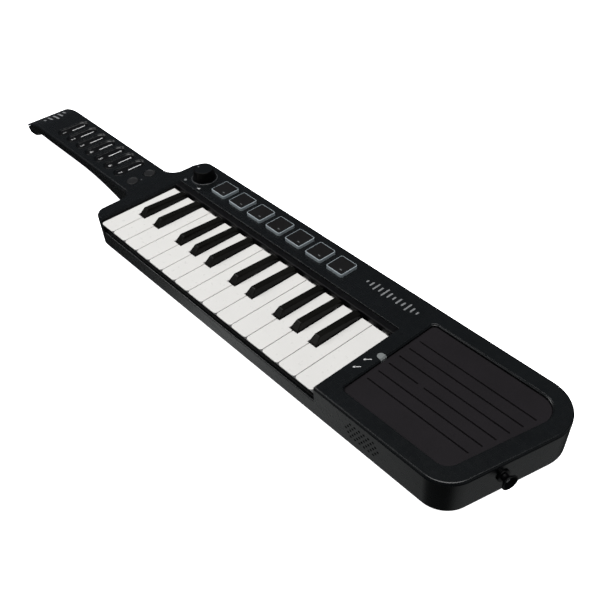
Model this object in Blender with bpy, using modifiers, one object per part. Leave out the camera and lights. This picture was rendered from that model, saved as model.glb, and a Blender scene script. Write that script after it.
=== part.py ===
"""A keyboard worn on a strap: a flat body with two octaves of small keys, and a chord neck.

Lengths are in metres. The design is drawn in the keyboard's own frame: X runs along the keys from the
left edge of the first white key, Y runs back from the front edge of the white keys, and Z runs up from
the tops of the white keys. The root empty places that frame, so that the part's origin is at the middle
of the underside of the whole object.
"""

import math

import bmesh
import bpy
from mathutils import Matrix, Vector

MM = 0.001

# Keys
KEY_PITCH = 20.0 * MM
WHITE_KEYS = 15
OCTAVE = 7
KEY_GAP = 0.6 * MM
KEY_END = 85.2 * MM
LIP_THICKNESS = 1.4 * MM
LIP_DEPTH = 4.6 * MM
KEY_UNDERSIDE = -9.0 * MM
KEY_CORNER = 2.8 * MM
TAIL_END = 104.0 * MM
TAIL_TOP = -4.5 * MM
TAIL_WIDTH = 6.4 * MM
HOOK_FRONT = 101.6 * MM
HOOK_BOTTOM = -12.0 * MM
PIVOT_Y = 99.5 * MM
PIVOT_Z = -9.0 * MM
BLACK_CENTRES = (0.91, 2.09, 3.90, 5.02, 6.15)
BLACK_WIDTH = 9.0 * MM
BLACK_FRONT = 34.8 * MM
BLACK_NOSE = 40.2 * MM
BLACK_HEIGHT = 6.2 * MM
BLACK_REAR_HEIGHT = 3.2 * MM
BLACK_UNDERSIDE = -7.0 * MM
BLACK_DRAFT = 0.27
BLACK_LEAN = 0.01 * MM
BLACK_CLEARANCE = 0.8 * MM
BLACK_ROOM = 1.0 * MM

# Casing
PANEL = 3.3 * MM
COVER_UNDERSIDE = 1.1 * MM
CASE_RIM = 0.5 * MM
CASE_BOTTOM = -31.6 * MM
FOOT_HEIGHT = 1.2 * MM
FOOT_RADIUS = 6.0 * MM
FOOT_INSET = 16.0 * MM
FOOT_LEFT = 2.0 * MM
FOOT_FRONT_RIGHT = 415.0 * MM
FOOT_BACK_RIGHT = 430.0 * MM
WALL = 2.2 * MM
COVER_EDGE = 0.65 * MM
CASE_EDGE = 3.2 * MM
CASE_DRAFT = 1.6 * MM
BODY_LEFT = -17.3 * MM
BODY_FRONT = 1.2 * MM
BODY_BACK = 136.6 * MM
BODY_RIGHT = 431.4 * MM
BODY_CORNERS = (12.5 * MM, 26.0 * MM, 34.0 * MM, 18.0 * MM)
SLANT = 0.24
NECK_FRONT = 45.0 * MM
NECK_BACK = 94.6 * MM
NECK_TIP = -240.5 * MM
NECK_ROOTS = (11.0 * MM, 14.0 * MM)
TIP_CORNER = 5.5 * MM
NECK_CAVITY_END = -204.0 * MM
HEAD_START = -199.0 * MM
HEAD_RADIUS = 76.0 * MM
NECK_UNDERSIDE = -10.6 * MM
HEEL_START = -125.0 * MM
HEEL_RADIUS = 310.0 * MM
TOE_START = -206.0 * MM
TOE_END = -229.0 * MM
TOE_BOTTOM = -18.7 * MM

# Openings of the cover
BAY_LEFT = -1.6 * MM
BAY_RIGHT = 300.7 * MM
BAY_BACK = 95.0 * MM
BAY_CHAMFER = 1.8 * MM
BAY_EDGE = 0.2 * MM
LIP_OF_CASE = -13.4 * MM
LIP_BACK = 8.0 * MM
TRIM_FRONT = 88.4 * MM
TRIM_TOP = 2.4 * MM
TRIM_BOTTOM = -3.0 * MM
TRIM_EDGE = 0.6 * MM
TRIM_GAP = 0.1 * MM

# Pads, knob and neck buttons
PAD_SIZE = 20.0 * MM
PAD_CORNER = 1.8 * MM
PAD_TOP = 6.0 * MM
PAD_EDGE = 0.5 * MM
PAD_COUNT = 7
PAD_FIRST = 45.0 * MM
PAD_PITCH = 27.8 * MM
PAD_Y = 115.8 * MM
KNOB_X = 10.6 * MM
KNOB_RADIUS = 10.0 * MM
KNOB_BASE = 11.7 * MM
KNOB_TOP = 14.2 * MM
KNOB_EDGE = 0.7 * MM
KNOB_SHAFT = 3.0 * MM
KNOB_FOOT = -3.0 * MM
ENCODER_HALF = 7.0 * MM
ENCODER_HEIGHT = 2.4 * MM
RING_INNER = 12.3 * MM
RING_OUTER = 13.4 * MM
RING_DEPTH = 0.7 * MM
PROUD = 0.1 * MM
CHORD_COUNT = 7
CHORD_FIRST = -173.0 * MM
CHORD_PITCH = 18.85 * MM
CHORD_Y = 70.8 * MM
CHORD_HALF_LENGTH = 17.0 * MM
CHORD_HALF_WIDTH = 5.6 * MM
CHORD_TOP = 2.2 * MM
CHORD_CHAMFER = 1.4 * MM
ROUND_X = -36.0 * MM
ROUND_YS = (59.5 * MM, 80.1 * MM)
ROUND_RADIUS = 5.8 * MM
ROUND_TOP = 3.6 * MM
ROUND_EDGE = 0.6 * MM
BUTTON_GAP = 0.35 * MM
FLANGE = 1.1 * MM
FLANGE_TOP = 0.7 * MM
FLANGE_BOTTOM = -0.9 * MM

# Strum plate and its lens
PLATE_LEFT = 314.4 * MM
PLATE_FRONT = 15.2 * MM
PLATE_BACK = 121.8 * MM
PLATE_RIGHT = 416.3 * MM
PLATE_CORNERS = (6.0 * MM, 13.0 * MM, 18.0 * MM, 6.0 * MM)
PLATE_CHAMFER = 1.2 * MM
PLATE_GAP = 0.5 * MM
PLATE_TOP = 0.8 * MM
PLATE_SHOULDER = -0.4 * MM
PLATE_BOTTOM = -1.6 * MM
PLATE_MARGIN = 1.3 * MM
GROOVE_FIRST = 39.5 * MM
GROOVE_PITCH = 11.72 * MM
GROOVE_COUNT = 6
GROOVE_LEFT = 320.2 * MM
GROOVE_RIGHT = 410.2 * MM
GROOVE_WIDTH = 1.2 * MM
GROOVE_DEPTH = 1.6 * MM
BROKEN_GROOVE = 2
BREAK_LEFT = 351.0 * MM
BREAK_RIGHT = 356.4 * MM
LENS_X = 312.4 * MM
LENS_Y = 62.2 * MM
LENS_RADIUS = 3.3 * MM
LENS_BOTTOM = -2.0 * MM

# Fittings
GRILLE_X = 352.2 * MM
GRILLE_Z = -13.1 * MM
GRILLE_ROWS = (6, 7, 8, 7, 6)
GRILLE_PITCH = 4.7 * MM
GRILLE_ROW_PITCH = 3.5 * MM
GRILLE_HOLE = 1.1 * MM
STRAP_Y = 50.3 * MM
STRAP_Z = -11.0 * MM
STRAP_LENGTH = 8.4 * MM
STRAP_FACE = 6.8 * MM
STRAP_NECK = 3.2 * MM
STRAP_FLANGE = 5.5 * MM
SCREW_RADIUS = 1.6 * MM
SCREW_HEAD = 2.15 * MM
SCREW_TOP = STRAP_LENGTH - 2.7 * MM
SCREW_TIP = -10.5 * MM
DOOR = (325.0 * MM, 405.0 * MM, 55.0 * MM, 112.0 * MM)
DOOR_THICKNESS = 1.8 * MM
USB_X = 268.0 * MM
USB_Z = -9.4 * MM
USB_WIDTH = 9.0 * MM
USB_HEIGHT = 3.2 * MM
USB_WALL = 0.5 * MM
GAP = 0.3 * MM
HAIR = 0.01 * MM

# How finely round shapes are divided
QUARTER = 6
SMALL_QUARTER = 3
ROUND_SIDES = 28
KNOB_SIDES = 36
FITTING_SIDES = 24
SMALL_SIDES = 16
HOLE_SIDES = 8

# Room for a cutter to reach past the face that it cuts
PAST = 5.0 * MM


# ---------------------------------------------------------------- tools

def clear_scene():
    for obj in list(bpy.data.objects):
        bpy.data.objects.remove(obj, do_unlink=True)


def new_collection(name):
    collection = bpy.data.collections.new(name)
    bpy.context.scene.collection.children.link(collection)
    return collection


def new_material(name, colour, roughness, metallic=0.0):
    material = bpy.data.materials.new(name)
    material.use_nodes = True
    shader = material.node_tree.nodes["Principled BSDF"]
    shader.inputs["Base Color"].default_value = (*colour, 1.0)
    shader.inputs["Roughness"].default_value = roughness
    shader.inputs["Metallic"].default_value = metallic
    material.diffuse_color = (*colour, 1.0)
    return material


def fillet(before, corner, after, radius, steps):
    """The arc that rounds a corner, whichever way the outline turns there."""
    towards = (before - corner).normalized()
    away = (after - corner).normalized()
    half = towards.angle(away) / 2
    centre = corner + (towards + away).normalized() * (radius / math.sin(half))
    start = corner + towards * (radius / math.tan(half)) - centre
    end = corner + away * (radius / math.tan(half)) - centre
    sweep = start.angle_signed(end)
    turn = -sweep / steps
    return [centre + Matrix.Rotation(turn * step, 2) @ start for step in range(steps + 1)]


def rounded(corners, steps=QUARTER):
    """An outline from (x, y, radius) corners; a radius of 0 keeps the corner sharp."""
    points = [Vector((x, y)) for x, y, _ in corners]
    outline = []
    for index, (_, _, radius) in enumerate(corners):
        before = points[index - 1]
        after = points[(index + 1) % len(points)]
        if radius > 0:
            outline += fillet(before, points[index], after, radius, steps)
        else:
            outline.append(points[index])
    return outline


def rectangle(left, right, front, back, radius=0.0, steps=SMALL_QUARTER):
    corners = ((left, front), (right, front), (right, back), (left, back))
    return rounded([(x, y, radius) for x, y in corners], steps)


def circle(x, y, radius, sides=ROUND_SIDES):
    turn = 2 * math.pi / sides
    return [Vector((x + radius * math.cos(turn * k), y + radius * math.sin(turn * k))) for k in range(sides)]


def slab(name, outline, low, high, collection):
    """A flat outline made solid between two heights."""
    curve = bpy.data.curves.new(name, "CURVE")
    curve.dimensions = "2D"
    curve.fill_mode = "BOTH"
    curve.extrude = (high - low) / 2
    spline = curve.splines.new("POLY")
    spline.points.add(len(outline) - 1)
    spline.use_cyclic_u = True
    for point, place in zip(spline.points, outline):
        point.co = (place.x, place.y, 0.0, 1.0)
    drawn = bpy.data.objects.new(name, curve)
    collection.objects.link(drawn)
    graph = bpy.context.evaluated_depsgraph_get()
    mesh = bpy.data.meshes.new_from_object(drawn.evaluated_get(graph))
    bpy.data.objects.remove(drawn, do_unlink=True)
    mesh.transform(Matrix.Translation((0, 0, (high + low) / 2)))
    mesh.name = name
    solid = bpy.data.objects.new(name, mesh)
    collection.objects.link(solid)
    edit(solid, tidy_faces)
    return solid


def tidy_faces(bm):
    """Welds the caps to the sides and makes each flat face one polygon."""
    bmesh.ops.remove_doubles(bm, verts=bm.verts, dist=1e-6)
    bmesh.ops.dissolve_limit(bm, angle_limit=math.radians(0.2), verts=bm.verts, edges=bm.edges)
    bmesh.ops.recalc_face_normals(bm, faces=bm.faces)


def edit(obj, action):
    bm = bmesh.new()
    bm.from_mesh(obj.data)
    action(bm)
    bm.to_mesh(obj.data)
    bm.free()


def upright_slab(name, outline, left, right, collection):
    """A side outline of (y, z) points made solid between two places along X."""
    solid = slab(name, outline, left, right, collection)
    turned = Matrix(((0, 0, 1, 0), (1, 0, 0, 0), (0, 1, 0, 0), (0, 0, 0, 1)))
    solid.data.transform(turned)
    return solid


def block(name, low, high, collection):
    mesh = bpy.data.meshes.new(name)
    bm = bmesh.new()
    size = Vector(high) - Vector(low)
    middle = (Vector(high) + Vector(low)) / 2
    bmesh.ops.create_cube(bm, size=1.0, matrix=Matrix.Translation(middle) @ Matrix.Diagonal((*size, 1.0)))
    bm.to_mesh(mesh)
    bm.free()
    obj = bpy.data.objects.new(name, mesh)
    collection.objects.link(obj)
    return obj


def cylinder(name, radius, low, high, turn, collection, sides=ROUND_SIDES):
    """A cylinder along local Z between two heights, placed by a matrix."""
    mesh = bpy.data.meshes.new(name)
    bm = bmesh.new()
    middle = Matrix.Translation((0, 0, (low + high) / 2))
    bmesh.ops.create_cone(bm, cap_ends=True, segments=sides, radius1=radius, radius2=radius,
                          depth=high - low, matrix=turn @ middle)
    bm.to_mesh(mesh)
    bm.free()
    obj = bpy.data.objects.new(name, mesh)
    collection.objects.link(obj)
    return obj


def turned(name, profile, collection, sides=ROUND_SIDES):
    """A turned solid about local Z: its profile runs down the outer side, from the axis to the axis."""
    mesh = bpy.data.meshes.new(name)
    mesh.from_pydata([(x, 0.0, z) for x, z in profile], [(k, k + 1) for k in range(len(profile) - 1)], [])
    obj = bpy.data.objects.new(name, mesh)
    collection.objects.link(obj)
    screw = obj.modifiers.new("turn", "SCREW")
    screw.steps = sides
    screw.render_steps = sides
    screw.use_merge_vertices = True
    screw.merge_threshold = 1e-5
    return obj


def bake(obj):
    """Applies the object's modifiers to its mesh."""
    graph = bpy.context.evaluated_depsgraph_get()
    mesh = bpy.data.meshes.new_from_object(obj.evaluated_get(graph))
    obj.modifiers.clear()
    obj.data = mesh


def combine(obj, other, operation):
    """Adds a Boolean with one object or with every object of a collection."""
    modifier = obj.modifiers.new(operation.lower(), "BOOLEAN")
    modifier.operation = operation
    modifier.solver = "EXACT"
    if isinstance(other, bpy.types.Collection):
        modifier.operand_type = "COLLECTION"
        modifier.collection = other
    else:
        modifier.object = other


def join_with(obj, others):
    """Unites an object with others for good."""
    for other in others:
        combine(obj, other, "UNION")
    bake(obj)
    for other in others:
        bpy.data.objects.remove(other, do_unlink=True)
    edit(obj, tidy_faces)


def keep_common(obj, other):
    """Keeps what two solids share."""
    combine(obj, other, "INTERSECT")
    bake(obj)
    bpy.data.objects.remove(other, do_unlink=True)
    edit(obj, tidy_faces)


def bevel(obj, offset, segments, chosen):
    """Rounds, or with one segment chamfers, the edges that `chosen` picks."""
    def action(bm):
        bm.normal_update()
        edges = [edge for edge in bm.edges if chosen(edge)]
        bmesh.ops.bevel(bm, geom=edges, offset=offset, segments=segments, profile=0.5, affect="EDGES",
                        clamp_overlap=True)
    edit(obj, action)


def level_edges(height):
    """Picks the edges that lie at one height."""
    return lambda edge: all(abs(vert.co.z - height) < 1e-6 for vert in edge.verts)


def slice_at(obj, stations):
    """Cuts the faces across X at each station, so that they can bend there."""
    def action(bm):
        for x in stations:
            bmesh.ops.bisect_plane(bm, geom=[*bm.verts, *bm.edges, *bm.faces], dist=1e-6,
                                   plane_co=(x, 0, 0), plane_no=(1, 0, 0))
    edit(obj, action)


def warp(obj, height):
    """Moves each point up or down to height(x, z)."""
    for vert in obj.data.vertices:
        vert.co.z = height(vert.co.x, vert.co.z)


def place(obj, material, origin=(0.0, 0.0, 0.0)):
    """Finishes a part: its material, its origin and its parent."""
    obj.data.transform(Matrix.Translation(-Vector(origin)))
    obj.location = origin
    obj.data.materials.clear()
    obj.data.materials.append(material)
    obj.parent = root
    obj.data.shade_smooth()
    obj.data.set_sharp_from_angle(angle=math.radians(35))
    return obj


def steps_between(start, end, count):
    return [start + (end - start) * k / count for k in range(count + 1)]


# ---------------------------------------------------------------- the casing's shape

def right_side(y, inset):
    """The slanted right side, moved in by an inset."""
    return BODY_RIGHT + SLANT * y - inset * math.hypot(1.0, SLANT)


def casing_outline(inset=0.0, tip=None):
    """The plan of body and neck together, moved in by an inset."""
    left = BODY_LEFT + inset
    front = BODY_FRONT + inset
    back = BODY_BACK - inset
    neck_front = NECK_FRONT + inset
    neck_back = NECK_BACK - inset
    tip = NECK_TIP + inset if tip is None else tip
    front_left, front_right, back_right, back_left = [radius - inset for radius in BODY_CORNERS]
    root_front, root_back = [radius + inset for radius in NECK_ROOTS]
    return rounded([
        (left, front, front_left),
        (right_side(front, inset), front, front_right),
        (right_side(back, inset), back, back_right),
        (left, back, back_left),
        (left, neck_back, root_back),
        (tip, neck_back, TIP_CORNER - inset),
        (tip, neck_front, TIP_CORNER - inset),
        (left, neck_front, root_front),
    ])


def head_drop(x):
    """How far the top of the head has curved down at x."""
    reach = max(0.0, HEAD_START - x)
    return HEAD_RADIUS - math.sqrt(HEAD_RADIUS ** 2 - reach ** 2)


def underside(x):
    """The height of the lowest surface: flat body, curved heel, thin neck, then the toe of the head."""
    if x > HEEL_START:
        reach = x - HEEL_START
        if reach >= HEEL_RADIUS:
            return CASE_BOTTOM
        curved = NECK_UNDERSIDE - (HEEL_RADIUS - math.sqrt(HEEL_RADIUS ** 2 - reach ** 2))
        return max(CASE_BOTTOM, curved)
    along = min(1.0, max(0.0, (TOE_START - x) / (TOE_START - TOE_END)))
    return NECK_UNDERSIDE + (TOE_BOTTOM - NECK_UNDERSIDE) * along * along * (3 - 2 * along)


def case_height(x, z):
    """Lifts the straight-sided case to its real underside, and lets the head curve down."""
    rise = underside(x) - CASE_BOTTOM + head_drop(x)
    share = min(1.0, max(0.0, (CASE_RIM - z) / (CASE_RIM - CASE_BOTTOM - CASE_EDGE)))
    return z + rise * share - head_drop(x)


def heel_stations():
    reach = math.sqrt(HEEL_RADIUS ** 2 - (HEEL_RADIUS + CASE_BOTTOM - NECK_UNDERSIDE) ** 2)
    return steps_between(HEEL_START, HEEL_START + reach, 10)


def head_stations():
    return steps_between(HEAD_START, NECK_TIP + 0.5 * MM, 9)


def plate_outline(inset):
    """The plan of the strum opening, moved in by an inset, or out by a negative one."""
    left = PLATE_LEFT + inset
    front = PLATE_FRONT + inset
    back = PLATE_BACK - inset
    lean = inset * math.hypot(1.0, SLANT)
    front_left, front_right, back_right, back_left = [radius - inset for radius in PLATE_CORNERS]
    return rounded([
        (left, front, front_left),
        (PLATE_RIGHT + SLANT * front - lean, front, front_right),
        (PLATE_RIGHT + SLANT * back - lean, back, back_right),
        (left, back, back_left),
    ])


def half_circle(x, y, radius, start, steps=SMALL_QUARTER + 1):
    """Half a circle, anticlockwise from the start angle."""
    turn = math.pi / (2 * steps)
    angles = [start + turn * k for k in range(2 * steps + 1)]
    return [Vector((x + radius * math.cos(angle), y + radius * math.sin(angle))) for angle in angles]


def stadium(x, y, half_width, half_length):
    """A slot with round ends that runs along Y."""
    reach = half_length - half_width
    return half_circle(x, y - reach, half_width, math.pi) + half_circle(x, y + reach, half_width, 0.0)


# ---------------------------------------------------------------- casing parts

def make_top_cover(material):
    cover = slab("top_cover", casing_outline(), COVER_UNDERSIDE, PANEL, parts)
    bevel(cover, COVER_EDGE, 3, level_edges(PANEL))
    slice_at(cover, head_stations())
    warp(cover, lambda x, z: z - head_drop(x))
    cutters = new_cutters("cover_cutters")
    above = PANEL + PAST
    below = COVER_UNDERSIDE - PAST
    slab("key_bay", rectangle(BAY_LEFT, BAY_RIGHT, -BAY_BACK, BAY_BACK), below, above, cutters)
    chamfer_key_bay(cutters)
    dished_hole("strum", plate_outline, PLATE_CHAMFER, cutters)
    for index in range(PAD_COUNT):
        slab("pad_hole", pad_outline(index, BUTTON_GAP), below, above, cutters)
    for index in range(CHORD_COUNT):
        rim = BUTTON_GAP + CHORD_CHAMFER
        dished_hole("chord", lambda inset: chord_outline(index, rim - inset), CHORD_CHAMFER, cutters)
    for y in ROUND_YS:
        slab("round_hole", circle(ROUND_X, y, ROUND_RADIUS + BUTTON_GAP), below, above, cutters)
    slab("shaft_hole", circle(KNOB_X, PAD_Y, KNOB_SHAFT + BUTTON_GAP), below, above, cutters)
    ring("ring_groove", RING_INNER - GAP, RING_OUTER + GAP, PANEL - RING_DEPTH - GAP, above, cutters)
    slab("lens_hole", lens_outline(GAP), below, above, cutters)
    for cutter in list(cutters.objects):
        combine(cover, cutter, "DIFFERENCE")
    return place(cover, material)


def dished_hole(name, outline, chamfer, cutters):
    """Cuts a hole whose upper edge slopes in from the panel. The outline is a function of its inset."""
    through = outline(chamfer)
    layers = [(through, COVER_UNDERSIDE - PAST), (through, PANEL - chamfer), (outline(-MM), PANEL + MM)]
    bm = bmesh.new()
    rings = [[bm.verts.new((point.x, point.y, z)) for point in plan] for plan, z in layers]
    for lower, upper in zip(rings, rings[1:]):
        for k in range(len(through)):
            bm.faces.new((lower[k - 1], lower[k], upper[k], upper[k - 1]))
    bm.faces.new(rings[0][::-1])
    bm.faces.new(rings[-1])
    bmesh.ops.recalc_face_normals(bm, faces=bm.faces)
    mesh = bpy.data.meshes.new(name)
    bm.to_mesh(mesh)
    bm.free()
    cutters.objects.link(bpy.data.objects.new(name, mesh))


def chamfer_key_bay(cutters):
    """The slope that leads from the cheek down to the first key, as a leaning bar."""
    foot = COVER_UNDERSIDE + BAY_EDGE
    above = PANEL + MM
    inner, outer = BAY_LEFT + MM, BAY_LEFT - BAY_CHAMFER
    outline = as_outline([(inner, above), (inner, foot), (BAY_LEFT, foot), (outer, PANEL), (outer, above)])
    bar = slab("cheek_slope", outline, -BAY_BACK, BAY_BACK, cutters)
    bar.data.transform(Matrix.Rotation(math.pi / 2, 4, "X"))
    return bar


def draft(obj, inset, tip=None):
    """Draws the lower edge of a straight-sided shell inward, as a mould needs."""
    upper = casing_outline(inset, tip)
    lower = casing_outline(inset + CASE_DRAFT, tip)
    for vert in obj.data.vertices:
        if vert.co.z < 0:
            place_above = vert.co.xy
            nearest = min(range(len(upper)), key=lambda k: (upper[k] - place_above).length_squared)
            vert.co.xy = lower[nearest]


def drawn_in(z):
    """How far the drafted wall has come in at height z."""
    return CASE_DRAFT * (CASE_RIM - z) / (CASE_RIM - CASE_BOTTOM)


def make_bottom_case(material):
    case = slab("bottom_case", casing_outline(), CASE_BOTTOM, CASE_RIM, parts)
    draft(case, 0.0)
    bevel(case, CASE_EDGE, 3, level_edges(CASE_BOTTOM))
    slice_at(case, heel_stations() + head_stations() + steps_between(TOE_START, TOE_END, 6))
    warp(case, case_height)
    cutters = new_cutters("case_cutters")
    inside = casing_outline(WALL, NECK_CAVITY_END)
    hollow = slab("hollow", inside, CASE_BOTTOM + WALL, CASE_RIM + PAST, cutters)
    draft(hollow, WALL, NECK_CAVITY_END)
    slice_at(hollow, heel_stations())
    warp(hollow, case_height)
    block("key_front", (BAY_LEFT, -PAST, LIP_OF_CASE), (BAY_RIGHT, LIP_BACK, PAST), cutters)
    left, right, front, back = DOOR
    block("door_hole", (left, front, CASE_BOTTOM - MM), (right, back, CASE_BOTTOM + 2 * WALL), cutters)
    block("usb_hole", (USB_X - USB_WIDTH / 2 - GAP, BODY_BACK - 2 * WALL, USB_Z - GAP),
          (USB_X + USB_WIDTH / 2 + GAP, BODY_BACK + 2 * WALL, USB_Z + USB_HEIGHT + GAP), cutters)
    cylinder("strap_hole", SCREW_RADIUS + GAP, -3 * WALL, 2 * WALL, strap_matrix(), cutters, SMALL_SIDES)
    for x, z in grille_places():
        facing = Matrix.Translation((x, BODY_FRONT, z)) @ Matrix.Rotation(math.pi / 2, 4, "X")
        cylinder("grille_hole", GRILLE_HOLE, -2 * WALL, WALL, facing, cutters, HOLE_SIDES)
    for cutter in list(cutters.objects):
        combine(case, cutter, "DIFFERENCE")
    for x, y in foot_places():
        centre = Matrix.Translation((x, y, 0))
        foot = cylinder("foot", FOOT_RADIUS, CASE_BOTTOM - FOOT_HEIGHT, CASE_BOTTOM + WALL / 2, centre, cutters,
                        FITTING_SIDES)
        combine(case, foot, "UNION")
    return place(case, material)


def foot_places():
    front = BODY_FRONT + FOOT_INSET
    back = BODY_BACK - FOOT_INSET
    return [(FOOT_LEFT, front), (FOOT_LEFT, back), (FOOT_FRONT_RIGHT, front), (FOOT_BACK_RIGHT, back)]


def grille_places():
    """Staggered rows of holes that together make a hexagon."""
    places = []
    for row, count in enumerate(GRILLE_ROWS):
        z = GRILLE_Z + ((len(GRILLE_ROWS) - 1) / 2 - row) * GRILLE_ROW_PITCH
        for k in range(count):
            places.append((GRILLE_X + (k - (count - 1) / 2) * GRILLE_PITCH, z))
    return places


def make_battery_door(material):
    left, right, front, back = DOOR
    outline = rectangle(left + GAP, right - GAP, front + GAP, back - GAP)
    return place(slab("battery_door", outline, CASE_BOTTOM, CASE_BOTTOM + DOOR_THICKNESS, parts), material)


# ---------------------------------------------------------------- keys

def black_centres():
    """The middles of the black keys along X, over the whole keyboard."""
    octaves = math.ceil(WHITE_KEYS / OCTAVE)
    centres = [KEY_PITCH * (OCTAVE * octave + place)
               for octave in range(octaves) for place in BLACK_CENTRES]
    return [x for x in centres if x < KEY_PITCH * (WHITE_KEYS - 1)]


def white_plan(index):
    """One white key from above: full width in front, narrow between its black keys, then the tail."""
    left = KEY_PITCH * index + KEY_GAP / 2
    right = KEY_PITCH * (index + 1) - KEY_GAP / 2
    side = BLACK_WIDTH / 2 + BLACK_CLEARANCE
    rear_left, rear_right = left, right
    for centre in black_centres():
        if centre < (left + right) / 2 and centre + side > left:
            rear_left = centre + side
        if centre > (left + right) / 2 and centre - side < right:
            rear_right = centre - side
    notch = BLACK_FRONT - BLACK_ROOM
    middle = (rear_left + rear_right) / 2
    corners = [(left, 0.0, KEY_CORNER), (right, 0.0, KEY_CORNER)]
    if rear_right < right:
        corners += [(right, notch, 0.0), (rear_right, notch, 0.0)]
    corners += [(rear_right, KEY_END, 0.0), (middle + TAIL_WIDTH / 2, KEY_END, 0.0),
                (middle + TAIL_WIDTH / 2, TAIL_END, 0.0), (middle - TAIL_WIDTH / 2, TAIL_END, 0.0),
                (middle - TAIL_WIDTH / 2, KEY_END, 0.0), (rear_left, KEY_END, 0.0)]
    if rear_left > left:
        corners += [(rear_left, notch, 0.0), (left, notch, 0.0)]
    return rounded(corners, SMALL_QUARTER), middle


def tail_profile():
    """The back of every key in side view: it hooks over the rail of the frame."""
    return [(KEY_END, TAIL_TOP), (TAIL_END, TAIL_TOP), (TAIL_END, HOOK_BOTTOM), (HOOK_FRONT, HOOK_BOTTOM),
            (HOOK_FRONT, KEY_UNDERSIDE)]


def as_outline(points):
    return [Vector(point) for point in points]


def make_white_key(index, material):
    plan, middle = white_plan(index)
    key = slab(f"white_key_{index + 1:02d}", plan, HOOK_BOTTOM - MM, MM, parts)
    side = [(LIP_DEPTH, KEY_UNDERSIDE), (LIP_DEPTH, -LIP_THICKNESS), (-MM, -LIP_THICKNESS), (-MM, 0.0),
            (KEY_END, 0.0)]
    profile = as_outline(reversed(side + tail_profile()))
    keep_common(key, upright_slab("side", profile, -KEY_PITCH, KEY_PITCH * (WHITE_KEYS + 1), parts))
    return place(key, material, (middle, PIVOT_Y, PIVOT_Z))


def make_black_keys(material):
    """All black keys share one mesh, drawn about X = 0."""
    half = BLACK_WIDTH / 2
    tail = TAIL_WIDTH / 2
    plan = as_outline([(-half, 0.0), (half, 0.0), (half, KEY_END), (tail, KEY_END), (tail, TAIL_END + MM),
                       (-tail, TAIL_END + MM), (-tail, KEY_END), (-half, KEY_END)])
    first = slab("black_key_01", plan, HOOK_BOTTOM - MM, BLACK_HEIGHT + MM, parts)
    side = [(KEY_END, BLACK_UNDERSIDE), (BLACK_FRONT, BLACK_UNDERSIDE), (BLACK_FRONT, 0.0),
            (BLACK_NOSE, BLACK_HEIGHT), (KEY_END - BLACK_LEAN, BLACK_REAR_HEIGHT)]
    profile = as_outline(reversed(side + tail_profile()))
    keep_common(first, upright_slab("side", profile, -BLACK_WIDTH, BLACK_WIDTH, parts))
    edit(first, cut_at_key_tops)
    for vert in first.data.vertices:
        inward = BLACK_DRAFT * max(0.0, vert.co.z)
        vert.co.x -= math.copysign(inward, vert.co.x)
    centres = black_centres()
    place(first, material, (0.0, PIVOT_Y, PIVOT_Z))
    first.location.x = centres[0]
    for index, x in enumerate(centres[1:], start=2):
        key = bpy.data.objects.new(f"black_key_{index:02d}", first.data)
        parts.objects.link(key)
        key.location = (x, PIVOT_Y, PIVOT_Z)
        key.parent = root


def cut_at_key_tops(bm):
    bmesh.ops.bisect_plane(bm, geom=[*bm.verts, *bm.edges, *bm.faces], dist=1e-6, plane_co=(0, 0, 0),
                           plane_no=(0, 0, 1))


def make_key_frame(material):
    """The tray that carries the keys: floor, front ledge with the felt's seat, hinge rail, end walls."""
    floor, base = -20.5 * MM, -18.5 * MM
    front, back = 4.9 * MM, 103.0 * MM
    rail_front, rail_back, rail_top = 98.0 * MM, 101.0 * MM, PIVOT_Z - GAP
    ledge_back, ledge_low, ledge_high = 8.6 * MM, -13.7 * MM, -12.9 * MM
    seat_back, seat = 13.0 * MM, -15.3 * MM
    profile = as_outline([(front, floor), (back, floor), (back, base), (rail_back, base),
                          (rail_back, rail_top), (rail_front, rail_top), (rail_front, base),
                          (seat_back, base), (seat_back, seat), (ledge_back, seat),
                          (ledge_back, ledge_high), (front, ledge_low)])
    frame = upright_slab("key_frame", profile, BAY_LEFT - MM, BAY_RIGHT + MM, parts)
    ends = []
    for x, wall in ((BAY_LEFT, -1.5 * MM), (BAY_RIGHT + GAP, 1.5 * MM)):
        low, high = sorted((x, x + wall))
        ends.append(block("end", (low, front, floor), (high, back, CASE_RIM - GAP), parts))
    join_with(frame, ends)
    return place(frame, material)


def make_key_felt(material):
    """The strip that the front of each key lands on."""
    front, back = 9.0 * MM, 12.6 * MM
    bottom, top = -15.0 * MM, -12.5 * MM
    low, high = (MM, front, bottom), (KEY_PITCH * WHITE_KEYS - MM, back, top)
    return place(block("key_felt", low, high, parts), material)


def make_key_board(material):
    """The circuit board under the keys."""
    front, back = 30.0 * MM, 80.0 * MM
    bottom, top = -18.2 * MM, -16.6 * MM
    low, high = (2 * MM, front, bottom), (KEY_PITCH * WHITE_KEYS - 2 * MM, back, top)
    return place(block("key_board", low, high, parts), material)


def make_key_trim(material):
    """The strip behind the keys, a little below the panel."""
    outline = rectangle(BAY_LEFT + GAP, BAY_RIGHT - GAP, TRIM_FRONT, BAY_BACK - TRIM_GAP)
    trim = slab("key_trim", outline, TRIM_BOTTOM, TRIM_TOP, parts)
    bevel(trim, TRIM_EDGE, 2, level_edges(TRIM_TOP))
    return place(trim, material)


# ---------------------------------------------------------------- pads, knob and buttons

def pad_outline(index, grow=0.0):
    x = PAD_FIRST + PAD_PITCH * index
    half = PAD_SIZE / 2 + grow
    return rectangle(x - half, x + half, PAD_Y - half, PAD_Y + half, PAD_CORNER + grow)


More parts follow.
